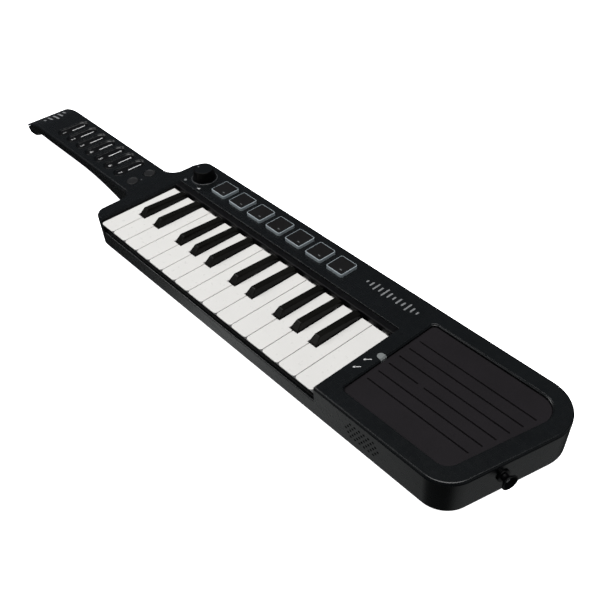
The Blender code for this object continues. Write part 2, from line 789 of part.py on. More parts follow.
def make_pad(index, material):
    pad = slab(f"pad_{index + 1}", pad_outline(index), FLANGE_BOTTOM, PAD_TOP, parts)
    bevel(pad, PAD_EDGE, 2, level_edges(PAD_TOP))
    join_with(pad, [slab("flange", pad_outline(index, FLANGE), FLANGE_BOTTOM - MM, FLANGE_TOP, parts)])
    return place(pad, material, (PAD_FIRST + PAD_PITCH * index, PAD_Y, 0.0))


def chord_outline(index, grow=0.0):
    x = CHORD_FIRST + CHORD_PITCH * index
    return stadium(x, CHORD_Y, CHORD_HALF_WIDTH + grow, CHORD_HALF_LENGTH + grow)


def make_chord_button(index, material):
    button = slab(f"chord_button_{index + 1}", chord_outline(index), FLANGE_BOTTOM, CHORD_TOP, parts)
    flange = slab("flange", chord_outline(index, FLANGE), FLANGE_BOTTOM - MM / 2, FLANGE_TOP, parts)
    join_with(button, [flange])
    return place(button, material, (CHORD_FIRST + CHORD_PITCH * index, CHORD_Y, 0.0))


def make_round_button(number, y, material):
    flange = ROUND_RADIUS + FLANGE
    profile = [(0.0, ROUND_TOP), (ROUND_RADIUS - ROUND_EDGE, ROUND_TOP),
               (ROUND_RADIUS, ROUND_TOP - ROUND_EDGE), (ROUND_RADIUS, FLANGE_TOP),
               (flange, FLANGE_TOP), (flange, FLANGE_BOTTOM), (0.0, FLANGE_BOTTOM)]
    button = turned(f"neck_button_{number}", profile, parts)
    place(button, material)
    button.location = (ROUND_X, y, 0.0)
    return button


def make_knob(material):
    """A knob that tapers upward, on a shaft through the cover."""
    low = PANEL + GAP
    profile = [(0.0, KNOB_TOP), (KNOB_RADIUS - KNOB_EDGE, KNOB_TOP), (KNOB_RADIUS, KNOB_TOP - KNOB_EDGE),
               (KNOB_BASE, low), (KNOB_SHAFT, low), (KNOB_SHAFT, KNOB_FOOT), (0.0, KNOB_FOOT)]
    knob = turned("volume_knob", profile, parts, KNOB_SIDES)
    place(knob, material)
    knob.location = (KNOB_X, PAD_Y, 0.0)
    return knob


def ring(name, inner, outer, low, high, collection):
    """A flat ring about the knob's axis."""
    profile = [(inner, high), (outer, high), (outer, low), (inner, low), (inner, high)]
    made = turned(name, profile, collection, KNOB_SIDES)
    bake(made)
    edit(made, tidy_faces)
    made.data.transform(Matrix.Translation((KNOB_X, PAD_Y, 0)))
    return made


def make_knob_ring(material):
    """A flat ring let into the panel around the knob."""
    bottom, top = PANEL - RING_DEPTH, PANEL + PROUD
    return place(ring("knob_ring", RING_INNER, RING_OUTER, bottom, top, parts), material)


def make_knob_encoder(material):
    """The turning sensor under the knob's shaft, on the main board."""
    top = KNOB_FOOT - GAP
    encoder = block("knob_encoder", (KNOB_X - ENCODER_HALF, PAD_Y - ENCODER_HALF, top - ENCODER_HEIGHT),
                    (KNOB_X + ENCODER_HALF, PAD_Y + ENCODER_HALF, top), parts)
    return place(encoder, material)


# ---------------------------------------------------------------- strum plate

def groove_spans():
    """(y, start, end) of each groove: one of them is broken in two."""
    spans = []
    for index in range(GROOVE_COUNT):
        y = GROOVE_FIRST + GROOVE_PITCH * index
        right = GROOVE_RIGHT + SLANT * y
        if index == BROKEN_GROOVE:
            spans += [(y, GROOVE_LEFT, BREAK_LEFT), (y, BREAK_RIGHT, right)]
        else:
            spans.append((y, GROOVE_LEFT, right))
    return spans


def make_strum_plate(material):
    """A grooved mat inside the opening, with a flange that reaches under the cover."""
    plate = slab("strum_plate", plate_outline(PLATE_CHAMFER + PLATE_GAP), PLATE_BOTTOM, PLATE_TOP, parts)
    flange = slab("flange", plate_outline(-PLATE_MARGIN), PLATE_BOTTOM - GAP, PLATE_SHOULDER, parts)
    join_with(plate, [flange])
    cutters = new_cutters("plate_cutters")
    half = GROOVE_WIDTH / 2
    for y, start, end in groove_spans():
        low, high = (start, y - half, PLATE_TOP - GROOVE_DEPTH), (end, y + half, PLATE_TOP + MM)
        block("groove", low, high, cutters)
    slab("lens_room", lens_outline(GAP), PLATE_BOTTOM - PAST, PLATE_TOP + MM, cutters)
    for cutter in list(cutters.objects):
        combine(plate, cutter, "DIFFERENCE")
    return place(plate, material)


def lens_outline(grow=0.0):
    """A tongue: round at the left end, square at the edge of the strum opening."""
    radius = LENS_RADIUS + grow
    right = PLATE_LEFT + PLATE_CHAMFER + grow
    return half_circle(LENS_X, LENS_Y, radius, math.pi / 2) + [Vector((right, LENS_Y - radius)),
                                                               Vector((right, LENS_Y + radius))]


def make_lens(material):
    """The light window, whose right end slopes down with the edge of the strum opening."""
    top = PANEL + PROUD
    end = PLATE_LEFT + PLATE_CHAMFER
    lens = slab("indicator_lens", lens_outline(), LENS_BOTTOM, top, parts)

    def at_top_of_right_end(vert):
        return vert.co.x > end - HAIR and vert.co.z > top - HAIR

    bevel(lens, PLATE_CHAMFER, 1, lambda edge: all(map(at_top_of_right_end, edge.verts)))
    return place(lens, material)


# ---------------------------------------------------------------- fittings

def strap_matrix():
    """Local Z points out of the slanted right wall, at the strap button."""
    outward = Vector((1.0, -SLANT, 0.0)).normalized()
    turn = outward.to_track_quat("Z", "Y").to_matrix().to_4x4()
    wall = right_side(STRAP_Y, drawn_in(STRAP_Z))
    return Matrix.Translation((wall, STRAP_Y, STRAP_Z)) @ turn


def make_strap_button(material):
    """A flared button with a deep cone in its face and a wide flange against the wall."""
    end = STRAP_LENGTH
    hole = SCREW_RADIUS + GAP
    cone_depth, cone_foot = 3.6 * MM, 2.3 * MM
    lip, lip_height, rim = 0.8 * MM, 0.2 * MM, 0.9 * MM
    flare, flange = 4.4 * MM, 1.5 * MM
    profile = [(hole, end - cone_depth - GAP), (cone_foot, end - cone_depth), (STRAP_FACE - lip, end),
               (STRAP_FACE, end - lip_height), (STRAP_FACE, end - rim), (STRAP_NECK, end - flare),
               (STRAP_NECK, flange + GAP), (STRAP_FLANGE, flange), (STRAP_FLANGE, GAP), (hole, GAP),
               (hole, end - cone_depth - GAP)]
    button = turned("strap_button", profile, parts, FITTING_SIDES)
    bake(button)
    edit(button, tidy_faces)
    button.data.transform(strap_matrix())
    return place(button, material)


def make_strap_screw(material):
    """The screw that holds the strap button, with its head deep in the button's cone."""
    face, edge, seat = 0.45 * MM, 0.5 * MM, 0.9 * MM
    point = 1.5 * MM
    profile = [(0.0, SCREW_TOP), (SCREW_HEAD - face, SCREW_TOP), (SCREW_HEAD, SCREW_TOP - edge),
               (SCREW_RADIUS, SCREW_TOP - seat), (SCREW_RADIUS, SCREW_TIP + point), (0.0, SCREW_TIP)]
    screw = turned("strap_screw", profile, parts, SMALL_SIDES)
    bake(screw)
    screw.data.transform(strap_matrix())
    return place(screw, material)


def make_speaker(material):
    """A small loudspeaker behind the grille: rim, basket and magnet."""
    rim, rim_depth = 11.5 * MM, 2.0 * MM
    magnet, basket_depth, depth = 7.5 * MM, 6.0 * MM, 11.0 * MM
    profile = [(0.0, 0.0), (rim, 0.0), (rim, -rim_depth),
               (magnet, -basket_depth), (magnet, -depth), (0.0, -depth)]
    speaker = turned("speaker", profile, parts, FITTING_SIDES)
    bake(speaker)
    behind_wall = Vector((GRILLE_X, BODY_FRONT + WALL + CASE_DRAFT + GAP, GRILLE_Z))
    speaker.data.transform(Matrix.Translation(behind_wall) @ Matrix.Rotation(math.pi / 2, 4, "X"))
    return place(speaker, material)


def make_battery(material):
    """The battery pack above its door."""
    left, right, front, back = DOOR
    margin, lift, height = 4.0 * MM, 2.2 * MM, 13.8 * MM
    low = (left + margin, front + margin, CASE_BOTTOM + lift)
    high = (right - margin, back - margin, CASE_BOTTOM + lift + height)
    return place(block("battery_pack", low, high, parts), material)


def make_main_board(material):
    """The circuit board under the pads and the knob."""
    left, right = -4.0 * MM, 290.0 * MM
    front, back = 105.5 * MM, 127.2 * MM
    bottom, top = -7.6 * MM, -6.0 * MM
    return place(block("main_board", (left, front, bottom), (right, back, top), parts), material)


def make_neck_board(material):
    """The circuit board under the neck's buttons."""
    left, right, margin = -190.0 * MM, -24.0 * MM, 6.0 * MM
    bottom, top = -4.8 * MM, -3.2 * MM
    low, high = (left, NECK_FRONT + margin, bottom), (right, NECK_BACK - margin, top)
    return place(block("neck_board", low, high, parts), material)


def make_usb_socket(material):
    """The socket in the back wall: a thin metal shell with an open mouth."""
    length, recess, mouth_depth = 8.6 * MM, 0.4 * MM, 5.6 * MM
    mouth_end = BODY_BACK - recess
    low = (USB_X - USB_WIDTH / 2, mouth_end - length, USB_Z)
    high = (USB_X + USB_WIDTH / 2, mouth_end, USB_Z + USB_HEIGHT)
    socket = block("usb_socket", low, high, parts)
    mouth = block("mouth", (low[0] + USB_WALL, mouth_end - mouth_depth, low[2] + USB_WALL),
                  (high[0] - USB_WALL, mouth_end + MM, high[2] - USB_WALL), parts)
    combine(socket, mouth, "DIFFERENCE")
    bake(socket)
    bpy.data.objects.remove(mouth, do_unlink=True)
    return place(socket, material)


# ---------------------------------------------------------------- the whole object

def new_cutters(name):
    """A collection of cutting shapes inside the one that holds them all."""
    collection = bpy.data.collections.new(name)
    cutter_shapes.children.link(collection)
    collection.hide_render = True
    return collection


def hide_cutters():
    for obj in list(cutter_shapes.all_objects):
        obj.hide_render = True
        obj.display_type = "WIRE"
        obj.parent = root


def place_root():
    """Puts the part's origin under the middle of the object's bounding box."""
    right = max(point.x for point in casing_outline())
    root.location = (-(right + NECK_TIP) / 2, -BODY_BACK / 2, FOOT_HEIGHT - CASE_BOTTOM)


clear_scene()
parts = new_collection("keytar")
cutter_shapes = new_collection("cutters")
cutter_shapes.hide_render = True
root = bpy.data.objects.new("keyboard_frame", None)
parts.objects.link(root)

shell_black = new_material("shell_black", (0.012, 0.014, 0.016), 0.5)
trim_black = new_material("trim_black", (0.008, 0.008, 0.009), 0.55)
plate_black = new_material("plate_black", (0.016, 0.014, 0.016), 0.7)
key_white = new_material("key_white", (0.82, 0.82, 0.80), 0.3)
key_black = new_material("key_black", (0.010, 0.010, 0.010), 0.2)
pad_rubber = new_material("pad_rubber", (0.03, 0.03, 0.032), 0.6)
knob_black = new_material("knob_black", (0.010, 0.011, 0.012), 0.4)
button_grey = new_material("button_grey", (0.05, 0.05, 0.052), 0.6)
lens_white = new_material("lens_white", (0.6, 0.65, 0.68), 0.3)
ring_grey = new_material("ring_grey", (0.2, 0.21, 0.22), 0.4)
board_green = new_material("board_green", (0.02, 0.12, 0.05), 0.5)
frame_grey = new_material("frame_grey", (0.03, 0.03, 0.03), 0.6)
felt_red = new_material("felt_red", (0.25, 0.02, 0.02), 0.9)
metal = new_material("metal", (0.5, 0.5, 0.52), 0.3, 1.0)
battery_blue = new_material("battery_blue", (0.05, 0.15, 0.4), 0.5)

make_top_cover(shell_black)
make_bottom_case(shell_black)
make_battery_door(shell_black)
for number in range(WHITE_KEYS):
    make_white_key(number, key_white)
make_black_keys(key_black)
make_key_frame(frame_grey)
make_key_felt(felt_red)
make_key_board(board_green)
make_key_trim(trim_black)
for number in range(PAD_COUNT):
    make_pad(number, pad_rubber)
for number in range(CHORD_COUNT):
    make_chord_button(number, trim_black)
for number, side_y in enumerate(ROUND_YS, start=1):
    make_round_button(number, side_y, button_grey)
make_knob(knob_black)
make_knob_ring(ring_grey)
make_knob_encoder(metal)
make_strum_plate(plate_black)
make_lens(lens_white)
make_strap_button(knob_black)
make_strap_screw(metal)
make_speaker(metal)
make_battery(battery_blue)
make_main_board(board_green)
make_neck_board(board_green)
make_usb_socket(metal)
hide_cutters()
place_root()
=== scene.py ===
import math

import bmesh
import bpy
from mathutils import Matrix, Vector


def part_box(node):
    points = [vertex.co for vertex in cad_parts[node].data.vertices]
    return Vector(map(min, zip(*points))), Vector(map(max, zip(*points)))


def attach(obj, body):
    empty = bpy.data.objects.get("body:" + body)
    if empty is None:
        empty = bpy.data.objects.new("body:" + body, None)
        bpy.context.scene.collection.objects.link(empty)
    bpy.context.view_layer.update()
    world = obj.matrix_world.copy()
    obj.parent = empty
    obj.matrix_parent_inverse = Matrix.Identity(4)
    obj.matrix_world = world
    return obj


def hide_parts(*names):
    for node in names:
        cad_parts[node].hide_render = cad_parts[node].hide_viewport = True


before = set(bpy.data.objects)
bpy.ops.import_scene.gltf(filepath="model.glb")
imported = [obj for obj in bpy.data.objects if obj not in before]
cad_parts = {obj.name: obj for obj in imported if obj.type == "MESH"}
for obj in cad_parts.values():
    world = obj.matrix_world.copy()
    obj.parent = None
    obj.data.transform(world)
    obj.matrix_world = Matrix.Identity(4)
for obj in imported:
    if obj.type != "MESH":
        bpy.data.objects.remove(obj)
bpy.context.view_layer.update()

# The looks of a keyboard worn on a strap: fine mouldings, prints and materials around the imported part.
#
# Lengths are in metres. Shapes are drawn in the keyboard's own frame: X runs along the keys from the left
# edge of the first white key, Y runs back from the front edge of the white keys, and Z runs up from the
# tops of the white keys. Every piece has that frame's origin as its own.

MM = 0.001

# The keyboard's frame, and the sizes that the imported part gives
first_low, first_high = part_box("white_key_01")
KEY_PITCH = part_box("white_key_02")[0].x - first_low.x
KEY_GAP = KEY_PITCH - (first_high.x - first_low.x)
ORIGIN = Vector((first_low.x - KEY_GAP / 2, first_low.y, first_high.z))


def node_box(node):
    """A node's lowest and highest corners in the keyboard's frame."""
    low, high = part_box(node)
    return low - ORIGIN, high - ORIGIN


def node_middle(node):
    low, high = node_box(node)
    return (low + high) / 2


def nodes_named(start):
    """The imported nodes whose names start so, in order."""
    return sorted(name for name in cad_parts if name.startswith(start))


COVER_LOW, COVER_HIGH = node_box("top_cover")
CASE_LOW, CASE_HIGH = node_box("bottom_case")
WHITE_KEYS = nodes_named("white_key_")
BLACK_KEYS = nodes_named("black_key_")
PADS = nodes_named("pad_")
CHORD_BUTTONS = nodes_named("chord_button_")
ROUND_BUTTONS = nodes_named("neck_button_")
BLACK_CENTRES = [node_middle(name).x for name in BLACK_KEYS]

# Keys
KEY_END = 85.2 * MM
LIP_THICKNESS = 1.4 * MM
LIP_DEPTH = 4.6 * MM
KEY_UNDERSIDE = -9.0 * MM
KEY_CORNER = 2.8 * MM
KEY_SOFTNESS = 0.4 * MM
TAIL_END = 104.0 * MM
TAIL_TOP = -4.5 * MM
TAIL_WIDTH = 6.4 * MM
HOOK_FRONT = 101.6 * MM
HOOK_BOTTOM = -12.0 * MM
BLACK_WIDTH = 9.0 * MM
BLACK_FRONT = 34.8 * MM
BLACK_NOSE = 40.2 * MM
BLACK_HEIGHT = 6.2 * MM
BLACK_REAR_HEIGHT = 3.2 * MM
BLACK_UNDERSIDE = -7.0 * MM
BLACK_DRAFT = 0.27
BLACK_CLEARANCE = 0.8 * MM
BLACK_ROOM = 1.0 * MM
BLACK_SOFTNESS = 0.55 * MM

# Casing
PANEL = COVER_HIGH.z
COVER_UNDERSIDE = PANEL - 2.2 * MM
CUT_LOW = COVER_UNDERSIDE - 5 * MM
CUT_HIGH = PANEL + 5 * MM
CASE_RIM = CASE_HIGH.z
FOOT_HEIGHT = 1.2 * MM
CASE_BOTTOM = CASE_LOW.z + FOOT_HEIGHT
WALL = 2.2 * MM
COVER_EDGE = 1.3 * MM
COVER_DRAFT = 0.35 * MM
SEAM = 0.15 * MM
CASE_EDGE = 3.2 * MM
CASE_DRAFT = 1.6 * MM
BODY_LEFT = -17.3 * MM
BODY_FRONT = COVER_LOW.y
BODY_BACK = COVER_HIGH.y
BODY_RIGHT = 431.32 * MM
BODY_CORNERS = (12.5 * MM, 26.0 * MM, 34.0 * MM, 18.0 * MM)
SLANT = 0.24
NECK_FRONT = 45.0 * MM
NECK_BACK = 94.6 * MM
NECK_TIP = COVER_LOW.x
NECK_ROOTS = (11.0 * MM, 14.0 * MM)
TIP_CORNER = 5.5 * MM
NECK_CAVITY_END = -204.0 * MM
HEAD_START = -199.0 * MM
HEAD_RADIUS = 76.0 * MM
NECK_UNDERSIDE = -10.6 * MM
HEEL_START = -125.0 * MM
HEEL_RADIUS = 310.0 * MM
TOE_START = -206.0 * MM
TOE_END = -229.0 * MM
TOE_BOTTOM = -18.7 * MM

# Openings of the casing
BAY_LEFT = -1.6 * MM
BAY_RIGHT = 300.7 * MM
BAY_BACK = 95.0 * MM
BAY_CUT_FRONT = -20.0 * MM
BAY_SLOPE = 1.8 * MM
BAY_SOFTNESS = 0.4 * MM
LIP_OF_CASE = -13.4 * MM
LIP_SOFTNESS = 1.1 * MM
TRIM_FRONT = 88.4 * MM
TRIM_TOP = 2.4 * MM
TRIM_BOTTOM = -3.0 * MM
TRIM_GAP = 0.1 * MM
DOOR = (325.0 * MM, 405.0 * MM, 55.0 * MM, 112.0 * MM)
DOOR_CORNER = 3.0 * MM
CASE_SCREW_DEPTH = 1.5 * MM
FOOT_RADIUS = 6.0 * MM
FOOT_INSET = 16.0 * MM

# Pads, knob and neck buttons
FLANGE = 1.1 * MM
FLANGE_TOP = 0.7 * MM
FLANGE_BOTTOM = -0.9 * MM
BUTTON_GAP = 0.35 * MM
PAD_SIZE = 20.0 * MM
PAD_CORNER = 1.8 * MM
PAD_TOP = 6.0 * MM
PAD_RIM = 0.6 * MM
KNOB_RADIUS = 10.0 * MM
KNOB_BASE = 11.7 * MM
KNOB_TOP = 14.2 * MM
KNOB_SHAFT = 3.0 * MM
KNOB_FOOT = -3.0 * MM
RING_INNER = 12.3 * MM
RING_OUTER = 13.4 * MM
RING_DEPTH = 0.7 * MM
PROUD = 0.1 * MM
CHORD_HALF_LENGTH = 17.0 * MM
CHORD_HALF_WIDTH = 5.6 * MM
CHORD_TOP = 2.2 * MM
CHORD_CHAMFER = 1.4 * MM
ROUND_RADIUS = 5.8 * MM
ROUND_TOP = 3.6 * MM

# Strum plate and its lens
PLATE_LEFT = 314.4 * MM
PLATE_FRONT = 15.2 * MM
PLATE_BACK = 121.8 * MM
PLATE_RIGHT = 416.3 * MM
PLATE_CORNERS = (6.0 * MM, 13.0 * MM, 18.0 * MM, 6.0 * MM)
PLATE_CHAMFER = 1.2 * MM
PLATE_GAP = 0.5 * MM
PLATE_TOP = 0.8 * MM
PLATE_SHOULDER = -0.4 * MM
PLATE_BOTTOM = -1.9 * MM
PLATE_MARGIN = 1.3 * MM
GROOVE_FIRST = 39.5 * MM
GROOVE_PITCH = 11.72 * MM
GROOVE_COUNT = 6
GROOVE_LEFT = 320.2 * MM
GROOVE_RIGHT = 410.2 * MM
GROOVE_WIDTH = 1.2 * MM
GROOVE_DEPTH = 1.6 * MM
BROKEN_GROOVE = 2
BREAK_LEFT = 351.0 * MM
BREAK_RIGHT = 356.4 * MM
LENS_X = 312.4 * MM
LENS_Y = 62.2 * MM
LENS_RADIUS = 3.3 * MM
LENS_END = PLATE_LEFT + PLATE_CHAMFER
LENS_BOTTOM = -2.0 * MM
LENS_MARK_TURN = math.radians(47)

# Fittings
GRILLE_X = 352.2 * MM
GRILLE_Z = -13.1 * MM
GRILLE_ROWS = (6, 7, 8, 7, 6)
GRILLE_PITCH = 4.7 * MM
GRILLE_ROW_PITCH = 3.5 * MM
GRILLE_HOLE = 1.1 * MM
STRAP_Y = 50.3 * MM
STRAP_Z = -11.0 * MM
STRAP_LENGTH = 8.4 * MM
STRAP_FACE = 6.8 * MM
STRAP_NECK = 3.2 * MM
STRAP_FLANGE = 5.5 * MM
SCREW_RADIUS = 1.6 * MM
SCREW_HEAD = 2.15 * MM
SCREW_TOP = STRAP_LENGTH - 2.7 * MM
SCREW_TIP = -10.5 * MM
GAP = 0.3 * MM
PRINT = 0.05 * MM

# The studio's brightness, and its reflectors as (direction along X, level)
STUDIO_ABOVE = 0.06
FRONT_REFLECTORS = ((-1.0, 0.25), (-0.93, 0.10), (-0.87, 0.01), (-0.66, 0.01), (-0.64, 1.20),
                    (-0.60, 0.55), (-0.50, 0.38), (-0.40, 0.30), (-0.2, 0.05), (1.0, 0.02))
REAR_REFLECTORS = ((-1.0, 0.05), (-0.85, 0.01), (-0.70, 0.01), (-0.64, 0.03), (-0.4, 0.02), (0.1, 0.03),
                   (0.45, 0.24), (1.0, 0.36))

# The lights: where the sun is, its strength and its width in degrees, then the softboxes' places, targets,
# sizes and powers
SUN = ((0.12, -0.1, 1.0), 3.65, 50)
RIM_BOX = ((-0.98, -0.42, 1.26), (0.05, 0.0, 0.02), (0.5, 0.5), 8.0)
EDGE_BOX = ((-0.85, -1.05, 0.85), (0.1, 0.0, 0.02), (1.0, 0.4), 3.6)

# The camera, from the keyboard frame's origin
CAMERA_PLACE = Vector((637.4, -288.5, 477.7)) * MM
CAMERA_TURN = [math.radians(angle) for angle in (48.924, 1.954, 48.468)]
CAMERA_LENS = 51.5

# How finely round shapes are divided
CORNER_STEPS = 14
SMALL_STEPS = 6
EDGE_STEPS = 5
TURN_STEPS = 96
BEND_STEPS = 28
SMALLEST_RADIUS = 0.25 * MM
# The share of a half width that a round end may take, so that its arcs never meet
ALMOST = 0.999

# Stands a flat shape up, so that its Y points up and its Z points forward
UPRIGHT = Matrix.Rotation(math.pi / 2, 4, "X")


# ---- tools

def add_object(name, data):
    obj = bpy.data.objects.new(name, data)
    bpy.context.scene.collection.objects.link(obj)
    return obj


def link(name, bm):
    """Makes an object of a bmesh."""
    bmesh.ops.recalc_face_normals(bm, faces=bm.faces)
    mesh = bpy.data.meshes.new(name)
    bm.to_mesh(mesh)
    bm.free()
    return add_object(name, mesh)


def fillet(before, corner, after, radius, steps):
    """The arc that rounds a corner, whichever way the outline turns there."""
    towards = (before - corner).normalized()
    away = (after - corner).normalized()
    half = towards.angle(away) / 2
    centre = corner + (towards + away).normalized() * (radius / math.sin(half))
    start = corner + towards * (radius / math.tan(half)) - centre
    end = corner + away * (radius / math.tan(half)) - centre
    turn = -start.angle_signed(end) / steps
    return [centre + Matrix.Rotation(turn * step, 2) @ start for step in range(steps + 1)]


def rounded(corners, steps=SMALL_STEPS):
    """A closed outline from (x, y, radius) corners; a radius of None keeps the corner sharp."""
    points = [Vector((x, y)) for x, y, _ in corners]
    outline = []
    for index, (_, _, radius) in enumerate(corners):
        before = points[index - 1]
        after = points[(index + 1) % len(points)]
        if radius is None:
            outline.append(points[index])
        else:
            outline += fillet(before, points[index], after, max(radius, SMALLEST_RADIUS), steps)
    return outline


def softened(corners, steps=SMALL_STEPS):
    """An open line from (x, y, radius) corners, rounded where the radius isn't 0."""
    points = [Vector((x, y)) for x, y, _ in corners]
    line = [points[0]]
    for index in range(1, len(points) - 1):
        radius = corners[index][2]
        if radius > 0:
            line += fillet(points[index - 1], points[index], points[index + 1], radius, steps)
        else:
            line.append(points[index])
    return line + [points[-1]]


def rectangle(left, right, front, back, radius=None, steps=SMALL_STEPS):
    corners = ((left, front), (right, front), (right, back), (left, back))
    return rounded([(x, y, radius) for x, y in corners], steps)


def circle(x, y, radius, sides=TURN_STEPS):
    turns = [2 * math.pi / sides * k for k in range(sides)]
    return [Vector((x + radius * math.cos(turn), y + radius * math.sin(turn))) for turn in turns]


def stadium(x, y, half_width, half_length, steps=SMALL_STEPS):
    """A slot with round ends that runs along Y."""
    return rectangle(x - half_width, x + half_width, y - half_length, y + half_length,
                     half_width * ALMOST, steps)


def stack(name, layers):
    """A closed solid through (outline, height) layers from the lowest, each with as many points."""
    bm = bmesh.new()
    rings = [[bm.verts.new((point.x, point.y, z)) for point in outline] for outline, z in layers]
    for lower, upper in zip(rings, rings[1:]):
        for k in range(len(lower)):
            bm.faces.new((lower[k - 1], lower[k], upper[k], upper[k - 1]))
    bm.faces.new(rings[0][::-1])
    bm.faces.new(rings[-1])
    return link(name, bm)


def slab(name, outline, low, high):
    return stack(name, [(outline, low), (outline, high)])


def quarter_turn(steps=EDGE_STEPS):
    """(share inward, share up) pairs along a quarter of a circle, from upright to level."""
    turns = [math.pi / 2 * step / steps for step in range(steps + 1)]
    return [(1 - math.cos(turn), math.sin(turn)) for turn in turns]


def round_over(outline, top, radius, steps=EDGE_STEPS):
    """The layers that round an upper edge. The outline is a function of how far in it lies."""
    return [(outline(radius * inward), top - radius + radius * up) for inward, up in quarter_turn(steps)]


def round_under(outline, bottom, radius, steps=EDGE_STEPS):
    """The layers that round a lower edge."""
    pairs = reversed(quarter_turn(steps))
    return [(outline(radius * inward), bottom + radius - radius * up) for inward, up in pairs]


def hole(name, outline, softness=0.0):
    """A cutter for a hole through the cover whose upper edge is rounded outward."""
    layers = [(outline(0.0), CUT_LOW)]
    if softness > 0:
        layers += [(outline(-softness * inward), PANEL - softness + softness * up)
                   for inward, up in quarter_turn()[:-1]]
    outward, _ = quarter_turn()[-2]
    layers.append((outline(-softness * (outward + 0.8)), PANEL + 0.15 * softness + 0.001 * MM))
    layers.append((outline(-softness * (outward + 0.9)), PANEL + 6 * MM))
    return stack(name, layers)


def upright(name, profile, left, right):
    """A side outline of (y, z) points made solid between two places along X."""
    solid = slab(name, profile, left, right)
    solid.data.transform(Matrix(((0, 0, 1, 0), (1, 0, 0, 0), (0, 1, 0, 0), (0, 0, 0, 1))))
    return solid


def block(name, low, high):
    outline = rectangle(low[0], high[0], low[1], high[1])
    return slab(name, outline, low[2], high[2])


def turned(name, profile, steps=TURN_STEPS):
    """A turned solid about local Z from a profile of (radius, height) points."""
    bm = bmesh.new()
    verts = [bm.verts.new((point[0], 0.0, point[1])) for point in profile]
    edges = [bm.edges.new(pair) for pair in zip(verts, verts[1:])]
    bmesh.ops.spin(bm, geom=verts + edges, cent=(0, 0, 0), axis=(0, 0, 1), angle=2 * math.pi, steps=steps)
    bmesh.ops.remove_doubles(bm, verts=bm.verts, dist=0.001 * MM)
    return link(name, bm)


def move(obj, matrix):
    obj.data.transform(matrix)
    return obj


def shift(obj, x, y, z=0.0):
    return move(obj, Matrix.Translation((x, y, z)))


def slice_at(obj, stations, axis=(1, 0, 0)):
    """Cuts the faces across X at each station, so that they can bend there."""
    bm = bmesh.new()
    bm.from_mesh(obj.data)
    for place in stations:
        bmesh.ops.bisect_plane(bm, geom=[*bm.verts, *bm.edges, *bm.faces], dist=1e-7,
                               plane_co=Vector(axis) * place, plane_no=axis)
    bm.to_mesh(obj.data)
    bm.free()


def warp(obj, height):
    """Moves each point up or down to height(x, z)."""
    for vert in obj.data.vertices:
        vert.co.z = height(vert.co.x, vert.co.z)
    return obj


def bake(obj):
    """Applies the object's modifiers to its mesh."""
    bpy.context.view_layer.update()
    graph = bpy.context.evaluated_depsgraph_get()
    mesh = bpy.data.meshes.new_from_object(obj.evaluated_get(graph))
    obj.modifiers.clear()
    obj.data = mesh


def combine(obj, others, operation):
    """Cuts an object with others, or unites or intersects it with them, for good."""
    for other in others:
        modifier = obj.modifiers.new(operation.lower(), "BOOLEAN")
        modifier.operation = operation
        modifier.solver = "EXACT"
        modifier.object = other
    bake(obj)
    for other in others:
        bpy.data.objects.remove(other, do_unlink=True)
    return obj


def merged(name, solids):
    """Several separate solids as one object, such as cutters that don't meet."""
    bm = bmesh.new()
    for solid in solids:
        bm.from_mesh(solid.data)
        bpy.data.objects.remove(solid, do_unlink=True)
    return link(name, bm)


def soften(obj, width, segments=3, angle=35):
    """Rounds the object's sharp edges."""
    bevel = obj.modifiers.new("soft_edges", "BEVEL")
    bevel.width = width
    bevel.segments = segments
    bevel.limit_method = "ANGLE"
    bevel.angle_limit = math.radians(angle)
    bevel.use_clamp_overlap = True
    return obj


def finish(obj, material, body, replaced=()):
    """Puts a piece in its place, with its material and smooth faces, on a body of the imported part."""
    obj.location = ORIGIN
    obj.data.materials.clear()
    obj.data.materials.append(material)
    obj.data.shade_smooth()
    obj.data.set_sharp_from_angle(angle=math.radians(32))
    weights = obj.modifiers.new("even_normals", "WEIGHTED_NORMAL")
    weights.keep_sharp = True
    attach(obj, body)
    if replaced:
        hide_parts(*replaced)
    return obj


def steps_between(start, end, count):
    return [start + (end - start) * k / count for k in range(count + 1)]


# ---- materials

def add(tree, kind, values=None, **settings):
    """A shader node with its settings, and with values for its named inputs."""
    node = tree.nodes.new("ShaderNode" + kind)
    for name, value in settings.items():
        setattr(node, name, value)
    for name, value in (values or {}).items():
        node.inputs[name].default_value = value
    return node


def noise(tree, coordinates, size, detail=3.0, roughness=0.55):
    """A noise whose lumps are about that size."""
    made = add(tree, "TexNoise", {"Scale": 0.5 / size, "Detail": detail, "Roughness": roughness})
    tree.links.new(coordinates, made.inputs["Vector"])
    return made.outputs["Fac"]


def spread(tree, value, low, high, start=0.35, end=0.65):
    """Maps a noise to a range."""
    made = add(tree, "MapRange", {"From Min": start, "From Max": end, "To Min": low, "To Max": high})
    tree.links.new(value, made.inputs["Value"])
    return made.outputs["Result"]


def blend_colours(tree, value, dark, light):
    made = add(tree, "Mix", data_type="RGBA")
    made.inputs[6].default_value = (*dark, 1.0)
    made.inputs[7].default_value = (*light, 1.0)
    tree.links.new(value, made.inputs[0])
    return made.outputs[2]


def height_bump(tree, heights):
    """Chains bumps, given as (height, strength, depth), into one normal."""
    normal = None
    for height, strength, depth in heights:
        bump = add(tree, "Bump", {"Strength": strength, "Distance": depth})
        tree.links.new(height, bump.inputs["Height"])
        if normal is not None:
            tree.links.new(normal, bump.inputs["Normal"])
        normal = bump.outputs["Normal"]
    return normal


